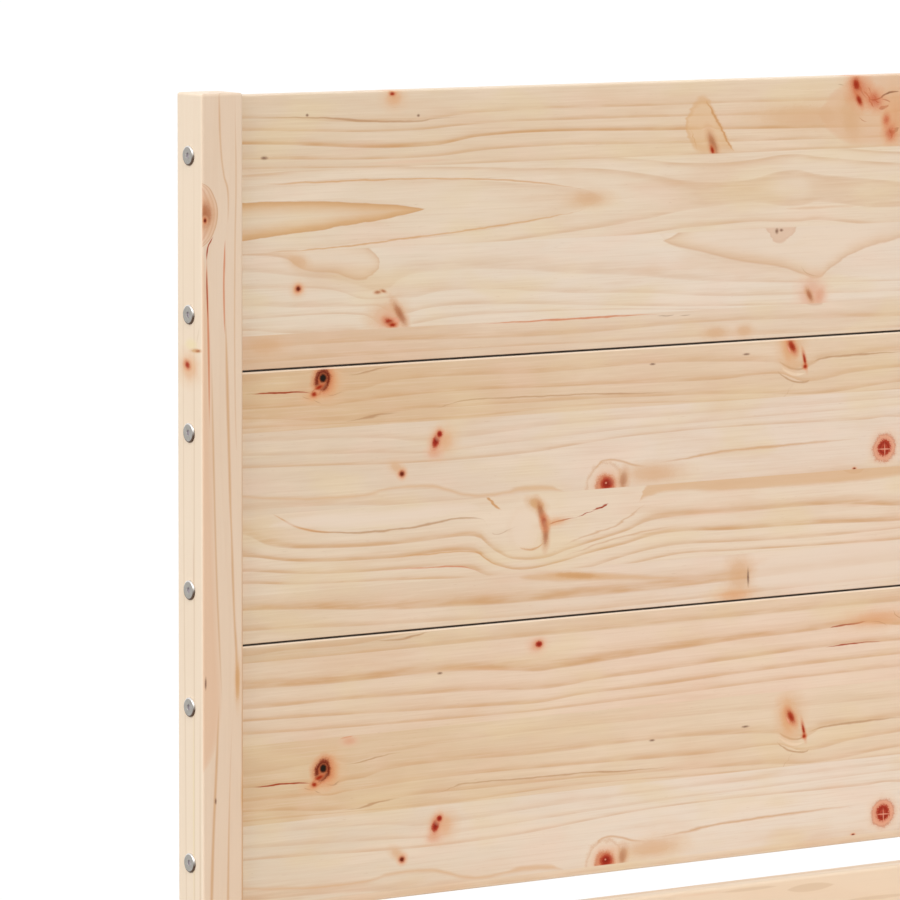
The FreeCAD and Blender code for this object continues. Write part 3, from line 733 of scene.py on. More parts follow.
POST_FRONT = [
    stroke("soft", 1.8, (-12, 14.7), (10, 14.9), (38, 16), (58, 18.5), (75, 22.3), (96, 21.3)),
    stroke("soft", 1.5, (-12, 28), (30, 28.5), (60, 28.9), (110, 28), (180, 27.6), (260, 29.9)),
    stroke("rose", 1.5, (104, 20), (118, 19.1), (136, 18.5), (154, 18.7), (176, 19.8)),
    stroke("soft", 2.6, (150, 19.1), (200, 21), (260, 22.7), (300, 23.8), (330, 25.1)),
    stroke("soft", 2.2, (288, 23.8), (330, 25.1), (380, 27), (415, 28.9), (450, 28.5)),
    stroke("soft", 2.2, (436, 27), (466, 24.8), (500, 23.2), (590, 21.3), (700, 20.4), (860, 19.4),
           (1010, 18.5)),
    lens("mark", [(63, -9), (112, -9)],
         [(63, -9), (67, 6.2), (74, 10.9), (82, 13.6), (90, 13.6), (99, 10.9), (106, 6.2), (112, -9)]),
    lens("blush", [(100, -16.6), (130, -9), (300, -9), (430, -9), (500, -16.6)],
         [(100, -16.6), (130, 5.2), (200, 8.4), (300, 10.5), (350, 12), (400, 14.3), (446, 16.6),
          (500, -16.6)]),
    stroke("soft", 2.0, (176, 7.7), (240, 9), (300, 10.5), (350, 12), (400, 14.3), (450, 17.2)),
    stroke("soft", 2.6, (436, 14.3), (470, 12.6), (500, 11.1), (540, 9), (590, 7.3), (640, 6.5)),
    stroke("soft", 2.4, (590, 8.1), (680, 10), (780, 13.8), (900, 15.7), (1010, 15.7)),
    stroke("rust", 1.2, (102, 10), (106, 7.5), (110, 5.2), (115, 4.3), (122, 4.1)),
    stroke("rose", 1.6, (112, 4.1), (130, 4.3), (160, 5), (200, 5.8), (250, 6)),
    stroke("rust", 1.0, (121, 3.9), (136, 4.1), (150, 4.5), (166, 5.4)),
    stroke("soft", 2.2, (0, 34.1), (300, 34.4), (700, 33.7), (1001, 34.2)),
]
POST_FRONT_KNOTS = [
    Knot("umber", 87, 3.3, 8, 5),
    Knot("pin", 91, 2.7, 1.6, 1.2),
    Knot("gold", 428, 29.7, 14, 2),
    Knot("shade", 515, 10.9, 2.2, 0.9),
    Knot("shade", 428, 2.6, 4.4, 0.9),
    Knot("gold", 512, 34.6, 12, 1.6),
    Knot("ruby", 742, 23.2, 5, 4),
]
POST_SIDE = [
    stroke("haze", 2.0, (-12, -11), (160, -11), (420, -11.7), (700, -12.1), (1010, -11.7)),
    stroke("haze", 1.6, (-12, -25.1), (240, -26.3), (520, -24), (760, -22.9), (1010, -24)),
    stroke("haze", 2.2, (430, -2.7), (560, -3.8), (700, -2.7), (860, -3.8), (1010, -2.7)),
    stroke("line", 0.9, (318, -12.6), (346, -12.7), (374, -12.3)),
    stroke("straw", 2.6, (430, -12.8), (520, -13), (620, -12.3)),
    stroke("haze", 1.4, (166, -3.4), (172, -4.9), (178, -6.7), (184, -8.3)),
]
POST_SIDE_KNOTS = [
    Knot("orange", 198.5, -17.8, 7, 9),
    Knot("rust", 196.8, -20.4, 2.6, 3.6, -12),
    Knot("straw", 181.5, -15, 3.4, 7),
    Knot("gold", 185.6, -8.8, 1.3, 6, 4),
    Knot("umber", 185.6, -5.5, 0.9, 3, 4),
    Knot("orange", 772, -16.2, 5, 6),
    Knot("ruby", 772, -16.2, 2.6, 3),
]
BOARD_FACE = [
    stroke("blush", 2.2, (428, 6), (452, 6), (480, 6.2)),
    stroke("haze", 2.6, (466, 6.6), (500, 6.8), (528, 7.4)),
    lens("haze", [(534, 11), (556, 7.6), (582, 11)], [(534, 11.4), (556, 15), (582, 11.4)]),
    stroke("haze", 3.0, (590, 25), (620, 26), (660, 27)),
]


def object_place(tree):
    """The point's x, y and z in mm, as the CAD model counts them."""
    place = tree.point()
    large = tree.node("ShaderNodeVectorMath", {"operation": "SCALE"}, {0: place, "Scale": 1000.0})
    split = tree.node("ShaderNodeSeparateXYZ", None, {0: large}, "X")
    return split, split.other("Y"), split.other("Z")


def closeness(tree, place, knot):
    """1 in a knot's middle, falling evenly over its tilted ellipse to 0 at the knot's reach."""
    values = {
        0: place,
        1: (knot.u, knot.v, 0.0),
        2: (0.0, 0.0, math.radians(knot.tilt)),
        3: (knot.long * KNOT_REACH, knot.high * KNOT_REACH, 1.0),
    }
    turned = tree.node("ShaderNodeMapping", {"vector_type": "TEXTURE"}, values)
    return tree.node("ShaderNodeTexGradient", {"gradient_type": "SPHERICAL"}, {0: turned}, "Fac")


def with_knot(tree, colour, knot, near, ripple, grit):
    """Draws a knot over a colour. Ripple stretches it about its edge and grit makes that edge uneven."""
    spot = tree.ramp(KNOTS[knot.kind], tree.maths("MULTIPLY_ADD", near, ripple, grit))
    return tree.mix(spot.other("Alpha"), colour, spot)


def uneven(ripple, grit):
    """Ripple and grit as a knot's ramp needs them, from two noises about 0.5."""
    stretch = 0.8 + ripple * 0.4
    return stretch, (1.0 - stretch) + (grit - 0.5) * 0.12


# Grains in a mm of the ripple and the grit.
RIPPLE_GRAIN = 0.14
GRIT_GRAIN = 0.9


def with_patch(tree, colour, u, v, patch):
    """Draws a patch over a colour. Its paint depends on the distance to the nearer of its two edges."""
    places, heights = zip(*patch.upper, *patch.lower)
    start, stop, low = min(places), max(places), min(heights)
    rise = max(heights) - low
    span = (start, stop)
    along = tree.maths("MULTIPLY_ADD", u, 1 / (stop - start), -start / (stop - start))
    level = tree.maths("MULTIPLY_ADD", v, 1 / rise, -low / rise)
    below_upper = level - tree.line(along, patch.upper, span, low, rise)
    above_lower = tree.line(along, patch.lower, span, low, rise) - level
    reach, stops = PAINTS[patch.kind]
    spot = tree.ramp(stops, tree.maths("MINIMUM", below_upper, above_lower) * (rise / reach))
    return tree.mix(spot.other("Alpha"), colour, spot)


def with_marks(tree, name, colour, u, v, patches, knots):
    """Draws patches and knots over a colour, in a group of their own."""
    place = tree.vector(u, v, 0.0)
    ripple, grit = uneven(
        tree.noise(tree.vector(u * RIPPLE_GRAIN, v * RIPPLE_GRAIN, 3.0)),
        tree.noise(tree.vector(u * GRIT_GRAIN, v * GRIT_GRAIN, 7.0)),
    )

    def draw(inner, given):
        result = given["colour"]
        for patch in patches:
            result = with_patch(inner, result, given["u"], given["v"], patch)
        for knot in knots:
            near = closeness(inner, given["place"], knot)
            result = with_knot(inner, result, knot, near, given["ripple"], given["grit"])
        return result

    given = {"colour": colour, "u": u, "v": v, "place": place, "ripple": ripple, "grit": grit}
    return tree.group(name, given, draw)


def bands_of(tree, strip, u, share, v):
    """The share, from 0 at one growth line to 1 at the next, and the strength of the late wood before it."""
    span = (0, SHEET_LENGTH)
    if isinstance(strip, Tongues):
        rise = max(ring for _, ring in strip.rings)
        axis = tree.line(share, strip.axis, span, SHEET_LOW, SHEET_RISE)
        middle = tree.maths("MULTIPLY_ADD", axis, SHEET_RISE / strip.spread, SHEET_LOW / strip.spread)
        away = v * (1 / strip.spread) - middle
        field = tree.line(share, strip.rings, span, 0, rise) * rise + away * away
        for ring, (gold, thin) in enumerate(zip(strip.gold, strip.thin)):
            yield field - float(ring), gold, thin
        return
    level = tree.maths("MULTIPLY_ADD", v, 1 / SHEET_RISE, -SHEET_LOW / SHEET_RISE)
    upper = tree.line(share, strip.lines[0].points, span, SHEET_LOW, SHEET_RISE)
    for line in strip.lines[1:]:
        lower = tree.line(share, line.points, span, SHEET_LOW, SHEET_RISE)
        yield (level - upper) / (lower - upper), line.gold, line.thin
        upper = lower


# Late wood over one growth ring. Red is a soft golden band, and green is the thin brown line that ends it.
LATE_WOOD = [
    (0.0, (0.0, 0.0)), (0.4, (0.04, 0.0)), (0.66, (0.32, 0.0)), (0.8, (0.85, 0.1)),
    (0.9, (1.0, 0.6)), (0.955, (0.8, 0.8)), (1.0, (0.0, 0.0)),
]
GOLD = (203, 158, 111)
BROWN = (186, 141, 100)


def strip_wood(tree, given, label, strip, patches, knots):
    """The wood of one glued strip: early wood, growth lines that bend round its knots, patches and knots."""
    u, flat, v = given["u"], given["flat"], given["base"]
    point = tree.point()
    place = tree.node("ShaderNodeMapping", None, {0: point, **label})
    near = [closeness(tree, place, knot) for knot in knots]
    for knot, close in zip(knots, near):
        if knot.bend:
            settings = {"interpolation_type": "SMOOTHERSTEP", "clamp": False}
            values = {"Value": close, "From Min": 0.29, "From Max": 0.92, "To Max": knot.bend}
            v = v - (flat - knot.v) * tree.node("ShaderNodeMapRange", settings, values)
    rings = None
    for band, gold, thin in bands_of(tree, strip, u, given["share"], v):
        stops = [(part, (red * gold, green * thin, 0.0, 1.0)) for part, (red, green) in LATE_WOOD]
        profile = tree.ramp(stops, band)
        rings = tree.mix(1.0, rings, profile, "ADD") if rings else profile
    wood = tree.mix(tree.smooth(u, 40, 460), screen(*strip.left), screen(*strip.right))
    wood = tree.tint(wood, given["dark"], (216, 182, 150))
    wood = tree.tint(wood, given["light"], (234, 217, 198))
    split = tree.node("ShaderNodeSeparateColor", None, {0: rings}, "Red")
    wood = tree.tint(wood, split * given["gold"], GOLD)
    wood = tree.tint(wood, split.other("Green") * given["thin"], BROWN)
    for share, colour in HUES + FIBRES:
        wood = tree.tint(wood, given[share], colour)
    for patch in patches:
        wood = with_patch(tree, wood, given["loose_u"], given["loose_v"], patch)
    for knot, close in zip(knots, near):
        wood = with_knot(tree, wood, knot, close, given["ripple"], given["grit"])
    # Painted shade and a painted highlight at the panel's edges, where the gaps between the panels lie.
    for share, colour in EDGE_SHADE_AND_HIGHLIGHT:
        if share in given:
            wood = tree.tint(wood, given[share], colour)
    return wood


# What lies over the growth lines, each by its own share: two hues, the fibres and the resin dashes. The
# panel's edges come last, with painted shade under the bottom edge and on the top face in the gap, and a
# painted highlight on the rounded top edge.
HUES = [("rosy", (230, 199, 181)), ("golden", (224, 205, 168))]
FIBRES = [("fibre", (204, 170, 136)), ("sheen", (240, 224, 206)), ("dash", (184, 146, 112))]
EDGE_SHADE_AND_HIGHLIGHT = [("under", (62, 36, 20)), ("arris", (246, 228, 206)), ("gap", (62, 36, 20))]


def panel_pine(name, figure, looks):
    """Edge-glued pine of one headboard panel, whose growth lines, knots and patches are drawn one by one."""
    tree = Tree(bpy.data.materials.new(name))
    low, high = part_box(name)
    top = high.z * 1000
    point = tree.point()
    x, y, z = object_place(tree)
    begin = (FROM_LEFT - BED_START) / figure.stretch + SHEET_START
    label = {
        1: (begin, top + SHEET_TOP + figure.drop, 0.0),
        2: (math.pi / 2, 0.0, 0.0),
        3: (1000 / figure.stretch, 0.0, 1000.0),
    }
    u = x * (1 / figure.stretch) + begin
    depth = y - low.y * 1000
    flat = (top + SHEET_TOP + figure.drop) - z
    wave = tree.grain(point, (6, 30, 50))
    right = tree.smooth(u, 620, 780)
    wander = tree.grain(point, (3, 0, 14), top, 1.0)
    tone = tree.grain(point, (9, 50, 45), 5.0, 3.0, 0.55)
    along = tree.grain(point, (22, 0, 160), 9.0)
    place = tree.vector(u, flat, depth)
    ragged = tree.grain(point, (60, 0, 260), 11.0) - 0.5
    ripple, grit = uneven(
        tree.node("ShaderNodeTexNoise", None, {"Vector": place, "Scale": RIPPLE_GRAIN}, "Fac"),
        tree.node("ShaderNodeTexNoise", None, {"Vector": place, "Scale": GRIT_GRAIN}, "Fac"),
    )
    hue = tree.grain(point, (13, 30, 30), 2.0)
    given = {
        "u": u,
        "share": u * (1 / SHEET_LENGTH),
        "flat": flat,
        "base": flat + depth * 0.55 + (wave - 0.5) * (1.4 + right * 3) + (wander - 0.5) * right * 62,
        "dark": tree.smooth(tone, 0.5, 0.74) * 0.36,
        "light": tree.smooth(tone, 0.5, 0.28) * 0.36,
        "gold": 0.5 + tree.smooth(along, 0.3, 0.7) * 0.5,
        "thin": 0.03 + tree.smooth(along, 0.28, 0.62) * 0.14,
        "ripple": ripple,
        "grit": grit,
        "loose_u": u + ragged * 7,
        "loose_v": flat + ragged * 2.2,
        "rosy": tree.smooth(hue, 0.52, 0.72) * 0.22,
        "golden": tree.smooth(hue, 0.5, 0.28) * 0.42,
    }
    given.update(zip((kind for kind, _ in FIBRES), grain_shares(tree, point, "x", 0.0)))
    # Painted shade under the bottom edge, a painted highlight on the rounded top edge and painted shade on
    # the top face in the gap above it.
    if figure.below:
        given["under"] = tree.smooth(z, low.z * 1000 + 0.75, low.z * 1000 + 0.15) * 0.95
    if figure.above:
        given["arris"] = tree.smooth(z, top - 1.7, top - 0.9) * 0.6
        given["gap"] = tree.smooth(z, top - 0.25, top) * 0.7
    finish = finish_values(tree, point, "x", looks)
    edge = flat + (wave - 0.5) * 0.3
    shader = None
    start = SHEET_LOW
    for number, strip in enumerate(figure.strips):
        knots = [knot for knot in figure.knots if start <= knot.v < strip.end]
        patches = [patch for patch in figure.patches if start <= patch.v < strip.end]

        def draw(inner, inputs, strip=strip, patches=patches, knots=knots):
            return strip_wood(inner, inputs, label, strip, patches, knots)

        colour = tree.group(f"{name}.strip_{number + 1}", given, draw)
        wood = tree.node("ShaderNodeBsdfPrincipled", None, {"Base Color": colour, **finish})
        if shader:
            share = tree.smooth(edge, start - 0.35, start + 0.35)
            wood = tree.node("ShaderNodeMixShader", None, {0: share, 1: shader, 2: wood})
        shader = wood
        start = strip.end
    return tree.surface(shader)


def sizes(along_axis, along, across):
    """Grains in a metre of x, y and z, where the wood's own direction has that many along it."""
    return tuple(along if axis == along_axis else across for axis in "xyz")


def grain_shares(tree, point, along_axis, seed):
    """Shares of the dark fibres, the light fibres and the short resin dashes, drawn out along the grain."""
    fibre = tree.grain(point, sizes(along_axis, 20, 900), seed, 3.0, 0.6)
    dash = tree.grain(point, sizes(along_axis, 110, 1700), seed + 31.0, 1.0)
    return (
        tree.smooth(fibre, 0.46, 0.74) * 0.17,
        tree.smooth(fibre, 0.5, 0.28) * 0.15,
        tree.smooth(dash, 0.72, 0.82) * 0.25,
    )


def finish_values(tree, point, along_axis, looks):
    """The clear satin finish of the wood, with the faint relief of its fibres."""
    relief = tree.grain(point, sizes(along_axis, 30, 1300))
    return {
        "Roughness": looks.roughness + (relief - 0.5) * 0.12,
        "IOR": 1.45,
        "Specular IOR Level": looks.shine,
        "Normal": tree.node("ShaderNodeBump", None, {"Strength": 0.12, "Distance": 0.0002, "Height": relief}),
    }


def sawn_pine(name, along_axis, face_axis, seed, looks, glued=0.0, knotty=1.0, figure=None, ringed=0.62):
    """Pine sawn from a log: growth rings are circles round a wandering pith, so faces show arches and
    lines, and ends show arcs. Each glued strip has a pith, a tone and knots of its own."""
    tree = Tree(bpy.data.materials.new(name))
    point = tree.point()
    place = dict(zip("xyz", object_place(tree)))
    depth = place[face_axis]
    across = place[({"x", "y", "z"} - {along_axis, face_axis}).pop()]
    own = seed
    if glued:
        own = tree.maths("FLOOR", (across + seed * 23.0) * (1 / glued)) * 3.7 + seed
    picked = tree.node("ShaderNodeTexWhiteNoise", {"noise_dimensions": "1D"}, {"W": own}, 1)
    chance = tree.node("ShaderNodeSeparateColor", None, {0: picked}, 0)
    wave = tree.grain(point, sizes(along_axis, 2.2, 11), seed)
    values = {0: point, 1: (seed, seed, seed), 3: sizes(along_axis, 4.2, 14)}
    cells = tree.node("ShaderNodeMapping", None, values)
    cell = tree.node("ShaderNodeTexVoronoi", None, {"Vector": cells, "Scale": 1.0, "Randomness": 0.9}, 0)
    luck = tree.node("ShaderNodeSeparateColor", None, {0: cell.other("Color")}, 0)
    near = cell / (0.03 + luck * 0.055)
    # The point's two distances from the pith, in mm. The rings swell round each knot.
    side = across + (chance - 0.5) * 90 + (wave - 0.5) * 24
    below = depth + 26 + chance.other("Green") * 40 + (wave - 0.5) * 46
    radius = tree.maths("SQRT", side * side + below * below) + tree.maths("EXPONENT", near * near * -0.3) * 6
    field = radius * (1 / looks.ring_width / 1000)
    whole = tree.maths("FLOOR", field)
    ring = tree.node("ShaderNodeTexWhiteNoise", {"noise_dimensions": "1D"}, {"W": whole}, 0)
    profile = {"points": [(0, 0), (0.45, 0.03), (0.75, 0.3), (0.92, 1), (1, 0)]}
    late = tree.node("ShaderNodeFloatCurve", profile, {"Value": tree.maths("FRACT", field)})
    tone = tree.grain(point, sizes(along_axis, 7, 40), seed * 3.0, 3.0)
    colour = tree.mix(chance.other("Blue") * 0.6, (*looks.pale, 1.0), (*looks.warm, 1.0))
    colour = tree.tint(colour, tree.smooth(tone, 0.5, 0.72) * 0.4, (218, 186, 154))
    colour = tree.tint(colour, tree.smooth(tone, 0.5, 0.3) * 0.3, (236, 219, 200))
    colour = tree.tint(colour, late * (0.3 + ring * 0.7) * ringed, GOLD)
    for share, (_, over) in zip(grain_shares(tree, point, along_axis, seed), FIBRES):
        colour = tree.tint(colour, share, over)
    ripple = tree.grain(point, (160, 160, 160))
    shown = tree.maths("GREATER_THAN", luck.other("Green"), 1 - 0.55 * knotty)
    spot = tree.ramp(KNOTS["great"], 1.0 - near * (0.18 + ripple * 0.14))
    colour = tree.mix(spot.other("Alpha") * shown, colour, spot)
    if figure:
        colour = figure(tree, colour, place)
    values = {"Base Color": colour, **finish_values(tree, point, along_axis, looks)}
    return tree.surface(tree.node("ShaderNodeBsdfPrincipled", None, values))


def post_figure(tree, colour, place):
    """What the left head post shows on its front and left faces, unrolled round the edge between them."""
    front = place["x"] + FROM_LEFT
    side = place["y"] - post_low.y * 1000
    u = post_high.z * 1000 - place["z"]
    v = front - side
    face = tree.tint(colour, 0.7, (220, 198, 176))
    face = with_marks(tree, "post_front", face, u, v, POST_FRONT, POST_FRONT_KNOTS)
    # The side face is painted paler than the front: partly the wood's own paler tone, partly painted light
    # for the brighter-lit side and its sheen.
    flank = tree.tint(colour, 0.8, (232, 214, 192))
    flank = with_marks(tree, "post_side", flank, u, v, POST_SIDE, POST_SIDE_KNOTS)
    drawn = tree.mix(tree.smooth(v, 0.9, -0.9), face, flank)
    return tree.mix(tree.smooth(front + side, 37, 35), colour, drawn)


def board_figure(tree, colour, place):
    """What the upper edge of the head end board shows on its front."""
    low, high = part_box("head_end_board")
    u = (place["x"] + FROM_LEFT - BED_START) * (1 / 1.002) + SHEET_START
    v = high.z * 1000 + SHEET_TOP + 0.1 - place["z"]
    pale = tree.tint(colour, 0.75, (233, 216, 194))
    drawn = with_marks(tree, "end_board", pale, u, v, BOARD_FACE, [])
    return tree.mix(tree.smooth(place["y"], high.y * 1000 - 4, low.y * 1000 + 4), colour, drawn)


def metal(name, colour, roughness, seed, brushed=0.0):
    """Plated steel with faint smudges and fine scratches."""
    tree = Tree(bpy.data.materials.new(name))
    point = tree.point()
    smudge = tree.grain(point, (350, 350, 350), seed, 3.0)
    fine = tree.grain(point, (4000, 4000, 4000), seed)
    dark = (*(part * 0.72 for part in colour), 1.0)
    shade = tree.mix(tree.smooth(smudge, 0.35, 0.7) * 0.35, (*colour, 1.0), dark)
    values = {
        "Base Color": shade,
        "Metallic": 1.0,
        "Roughness": roughness + (smudge - 0.5) * 0.16 + (fine - 0.5) * brushed,
        "Normal": tree.node("ShaderNodeBump", None, {"Strength": 0.08, "Distance": 0.0001, "Height": fine}),
    }
    return tree.surface(tree.node("ShaderNodeBsdfPrincipled", None, values))


def bolt_steel(looks):
    """Nickel-plated steel: a satin face with turned rings, a bevel with a painted highlight on its upper part
    and painted shade on its lower part, and a dull socket. The mesh gives each point its distance from the
    axis, its height above the seat and how low it is, in mm."""
    tree = Tree(bpy.data.materials.new("bolt_steel"))
    turned = tree.node("ShaderNodeAttribute", {"attribute_name": "turned"}, None, "Vector")
    split = tree.node("ShaderNodeSeparateXYZ", None, {0: turned}, "X")
    radius, height, low = split, split.other("Y"), split.other("Z")
    point = tree.point()
    smudge = tree.grain(point, (500, 500, 500), 0.0, 3.0)
    rings = tree.noise(tree.vector(radius * 5.0, 0.0, 0.0), 1.0)
    steel = tree.tint((*looks.steel, 1.0), tree.smooth(smudge, 0.35, 0.7) * 0.3, (132, 126, 116))
    steel = tree.tint(steel, tree.smooth(rings, 0.4, 0.65) * 0.25, (140, 136, 128))
    rim = tree.smooth(radius, BOLT_FACE - 0.25, BOLT_FACE + 0.25)
    # Painted shade on the lower part of the bevel and a painted highlight on its upper part.
    steel = tree.tint(steel, rim * tree.smooth(low, -2.5, 2.5) * 0.9, (82, 58, 42))
    steel = tree.tint(steel, rim * tree.smooth(low, -1.5, -4.5) * 0.9, (236, 232, 228))
    inside = tree.smooth(radius, 2.7, 2.2) * tree.smooth(height, BOLT_HEAD - 0.05, BOLT_HEAD - 0.5)
    steel = tree.tint(steel, inside, (172, 164, 168))
    relief = rings + tree.grain(point, (3000, 3000, 3000)) * 0.6
    values = {
        "Base Color": steel,
        "Metallic": 1.0 - inside,
        "Roughness": 0.4 + (smudge - 0.5) * 0.2 - rim * 0.12,
        "Normal": tree.node("ShaderNodeBump", None, {"Strength": 0.1, "Distance": 0.0001, "Height": relief}),
    }
    return tree.surface(tree.node("ShaderNodeBsdfPrincipled", None, values))


# A bolt's sizes in mm: the radii of the face, the head and the shank, the head's height and the socket.
BOLT_FACE = 6.2
BOLT_WIDEST = 7.3
BOLT_SHANK = 2.95
BOLT_HEAD = 1.5
SOCKET_FLAT = 2.0
SOCKET_FLOOR = 0.1
TURNS = 72
# In metres: the gap that parts two bolts of a node, and what is between a shank's width and a head's.
BOLT_GAP = 0.012
HEAD_LEAST = 0.014
NEAR_AXIS = 0.005


def head_places(name):
    """Seat middle and outward direction in metres, and the length in mm, of every bolt of a CAD node.
    Vertices are parted where they leave 12 mm free, and the wide flat parts are the heads."""
    mesh = nodes[name].data
    spots = np.empty(len(mesh.vertices) * 3)
    mesh.vertices.foreach_get("co", spots)
    parts = [spots.reshape(-1, 3)]
    for axis in (0, 1, 2, 0, 1, 2):
        cut = []
        for part in parts:
            part = part[np.argsort(part[:, axis])]
            cut += np.split(part, np.nonzero(np.diff(part[:, axis]) > BOLT_GAP)[0] + 1)
        parts = cut
    tips = [part for part in parts if np.ptp(part, axis=0).max() < HEAD_LEAST]
    for part in parts:
        size = np.ptp(part, axis=0)
        axis = int(size.argmin())
        if size.max() < HEAD_LEAST:
            continue
        middle = (part.min(0) + part.max(0)) / 2
        outward = np.zeros(3)
        outward[axis] = np.sign(middle[axis])
        seat = middle.copy()
        seat[axis] = np.abs(part[:, axis]).min() * outward[axis]
        across = [i for i in range(3) if i != axis]
        mine = [
            tip
            for tip in tips
            if np.abs(tip.mean(0) - middle)[across].max() < NEAR_AXIS and tip[0, axis] * outward[axis] > 0
        ]
        yield seat, outward, np.abs(seat[axis] - mine[0][0, axis]) * 1000


def bolt_surface(length):
    """One bolt along z as rings of points. A ring lies at a radius and a height from the seat. In the socket
    the radius is the flat's distance over the cosine of the angle from the flat's middle, which draws the
    hexagon. The bevel turns through a quarter of an ellipse."""
    angle = np.arange(TURNS) * 2 * np.pi / TURNS
    hexagon = SOCKET_FLAT / np.cos((angle + np.pi / 6) % (np.pi / 3) - np.pi / 6)
    drop = BOLT_HEAD - 0.35
    rings = [
        (0.05, SOCKET_FLOOR - 0.25), (hexagon * 0.8, SOCKET_FLOOR), (hexagon * 0.97, SOCKET_FLOOR),
        (hexagon, SOCKET_FLOOR + 0.06), (hexagon, BOLT_HEAD - 0.3), (hexagon * 1.02, BOLT_HEAD - 0.2),
        (hexagon * 0.5 + 1.35, BOLT_HEAD - 0.03), (hexagon * 0.4 + 1.75, BOLT_HEAD),
    ]
    rings += [(radius, BOLT_HEAD) for radius in (3.4, 4.4, 5.3, BOLT_FACE - 0.2)]
    rings += [
        (BOLT_FACE + (BOLT_WIDEST - BOLT_FACE) * np.sin(turn), BOLT_HEAD - drop * (1 - np.cos(turn)))
        for turn in np.linspace(0, np.pi / 2, 6)
    ]
    rings += [
        (BOLT_WIDEST - 0.04, 0.02), (BOLT_WIDEST - 0.2, 0.0), (BOLT_SHANK + 0.2, 0.0), (BOLT_SHANK, -0.3),
        (BOLT_SHANK, 1.2 - length), (BOLT_SHANK - 0.1, 0.8 - length), (BOLT_SHANK - 0.8, -length),
        (0.05, -length),
    ]
    radius = np.array([np.broadcast_to(ring, TURNS) for ring, _ in rings])
    height = np.repeat(np.array([level for _, level in rings])[:, None], TURNS, axis=1)
    points = np.stack([radius * np.cos(angle), radius * np.sin(angle), height], axis=-1)
    across = np.arange(TURNS)
    beside = (across + 1) % TURNS
    row = np.arange(len(rings) - 1)[:, None] * TURNS
    corners = [row + across, row + TURNS + across, row + TURNS + beside, row + beside]
    faces = np.stack(corners, axis=-1).reshape(-1, 4)
    return points.reshape(-1, 3), faces, radius.reshape(-1), height.reshape(-1)


def bolts_piece(name):
    """All bolts of one CAD node in one mesh, each turned to its seat."""
    points, faces, turned = [], [], []
    for seat, outward, length in head_places(name):
        own, quads, radius, height = bolt_surface(length)
        first = np.cross(outward, (0.0, 0.0, 1.0))
        second = np.cross(outward, first)
        placed = own @ np.stack([first, second, outward]) / 1000
        faces.append(quads + sum(len(p) for p in points))
        points.append(placed + seat)
        turned.append(np.stack([radius, height, -placed[:, 2] * 1000], axis=-1))
    points, faces, turned = np.concatenate(points), np.concatenate(faces), np.concatenate(turned)
    mesh = bpy.data.meshes.new(name + "_turned")
    mesh.from_pydata(points.tolist(), [], faces.tolist())
    places = mesh.attributes.new("turned", "FLOAT_VECTOR", "POINT")
    places.data.foreach_set("vector", turned.astype(np.float32).ravel())
    mesh.shade_smooth()
    mesh.set_sharp_from_angle(angle=math.radians(32))
    piece = bpy.data.objects.new(name + "_turned", mesh)
    bpy.context.scene.collection.objects.link(piece)
    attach(piece, "root")
    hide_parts(name)
    return piece


def dress(names, material):
    """Gives CAD nodes that material in every slot."""
    for name in names:
        mesh = nodes[name].data
        mesh.materials.clear()
        mesh.materials.append(material)


class PineLooks(bpy.types.PropertyGroup):
    """The pine and its finish."""

    pale: FloatVectorProperty(
        name="Pale wood", description="Colour of the early wood", subtype="COLOR", size=3, min=0, max=1,
        default=screen(231, 209, 184)[:3],
    )
    warm: FloatVectorProperty(
        name="Warm wood", description="Colour of the darkest boards", subtype="COLOR", size=3, min=0, max=1,
        default=screen(225, 198, 170)[:3],
    )
    ring_width: FloatProperty(
        name="Ring width", description="Width of one growth ring", unit="LENGTH",
        min=0.001, default=0.0075,
    )
    strip_width: FloatProperty(
        name="Strip width", description="Width of a glued strip", unit="LENGTH",
        min=0.02, default=0.06,
    )
    roughness: FloatProperty(
        name="Roughness", description="Roughness of the finish", subtype="FACTOR",
        min=0, max=1, default=0.5,
    )
    shine: FloatProperty(
        name="Shine", description="Strength of the finish's reflection", subtype="FACTOR",
        min=0, max=1, default=0.1,
    )


class MetalLooks(bpy.types.PropertyGroup):
    """The bolts and fittings."""

    steel: FloatVectorProperty(
        name="Bolt steel", description="Colour of the bolts", subtype="COLOR", size=3, min=0, max=1,
        default=screen(170, 167, 162)[:3],
    )
    zinc: FloatVectorProperty(
        name="Zinc", description="Colour of the zinc plate", subtype="COLOR", size=3, min=0, max=1,
        default=screen(200, 200, 202)[:3],
    )


class StageLooks(bpy.types.PropertyGroup):
    """Floor, light and camera."""

    sky: FloatProperty(name="Sky light", description="Strength of the even light", min=0, default=0.66)
    front: FloatProperty(
        name="Front light", description="Strength of the light from the front", min=0, default=1.3,
    )
    left: FloatProperty(
        name="Left light", description="Strength of the light from the left", min=0, default=1.5,
    )
    back: FloatProperty(
        name="Back light", description="Strength of the light from behind", min=0, default=0.8,
    )
    floor: FloatProperty(
        name="Floor", description="Half the floor's width", unit="LENGTH", min=2, default=60,
    )


def seen_directly(tree):
    """1 for rays from the camera, and for what is seen in reflections or through glass."""
    rays = tree.node("ShaderNodeLightPath", None, None, "Is Camera Ray")
    mirrored = tree.maths("MAXIMUM", rays, rays.other("Is Glossy Ray"))
    return tree.maths("MAXIMUM", mirrored, rays.other("Is Transmission Ray"))


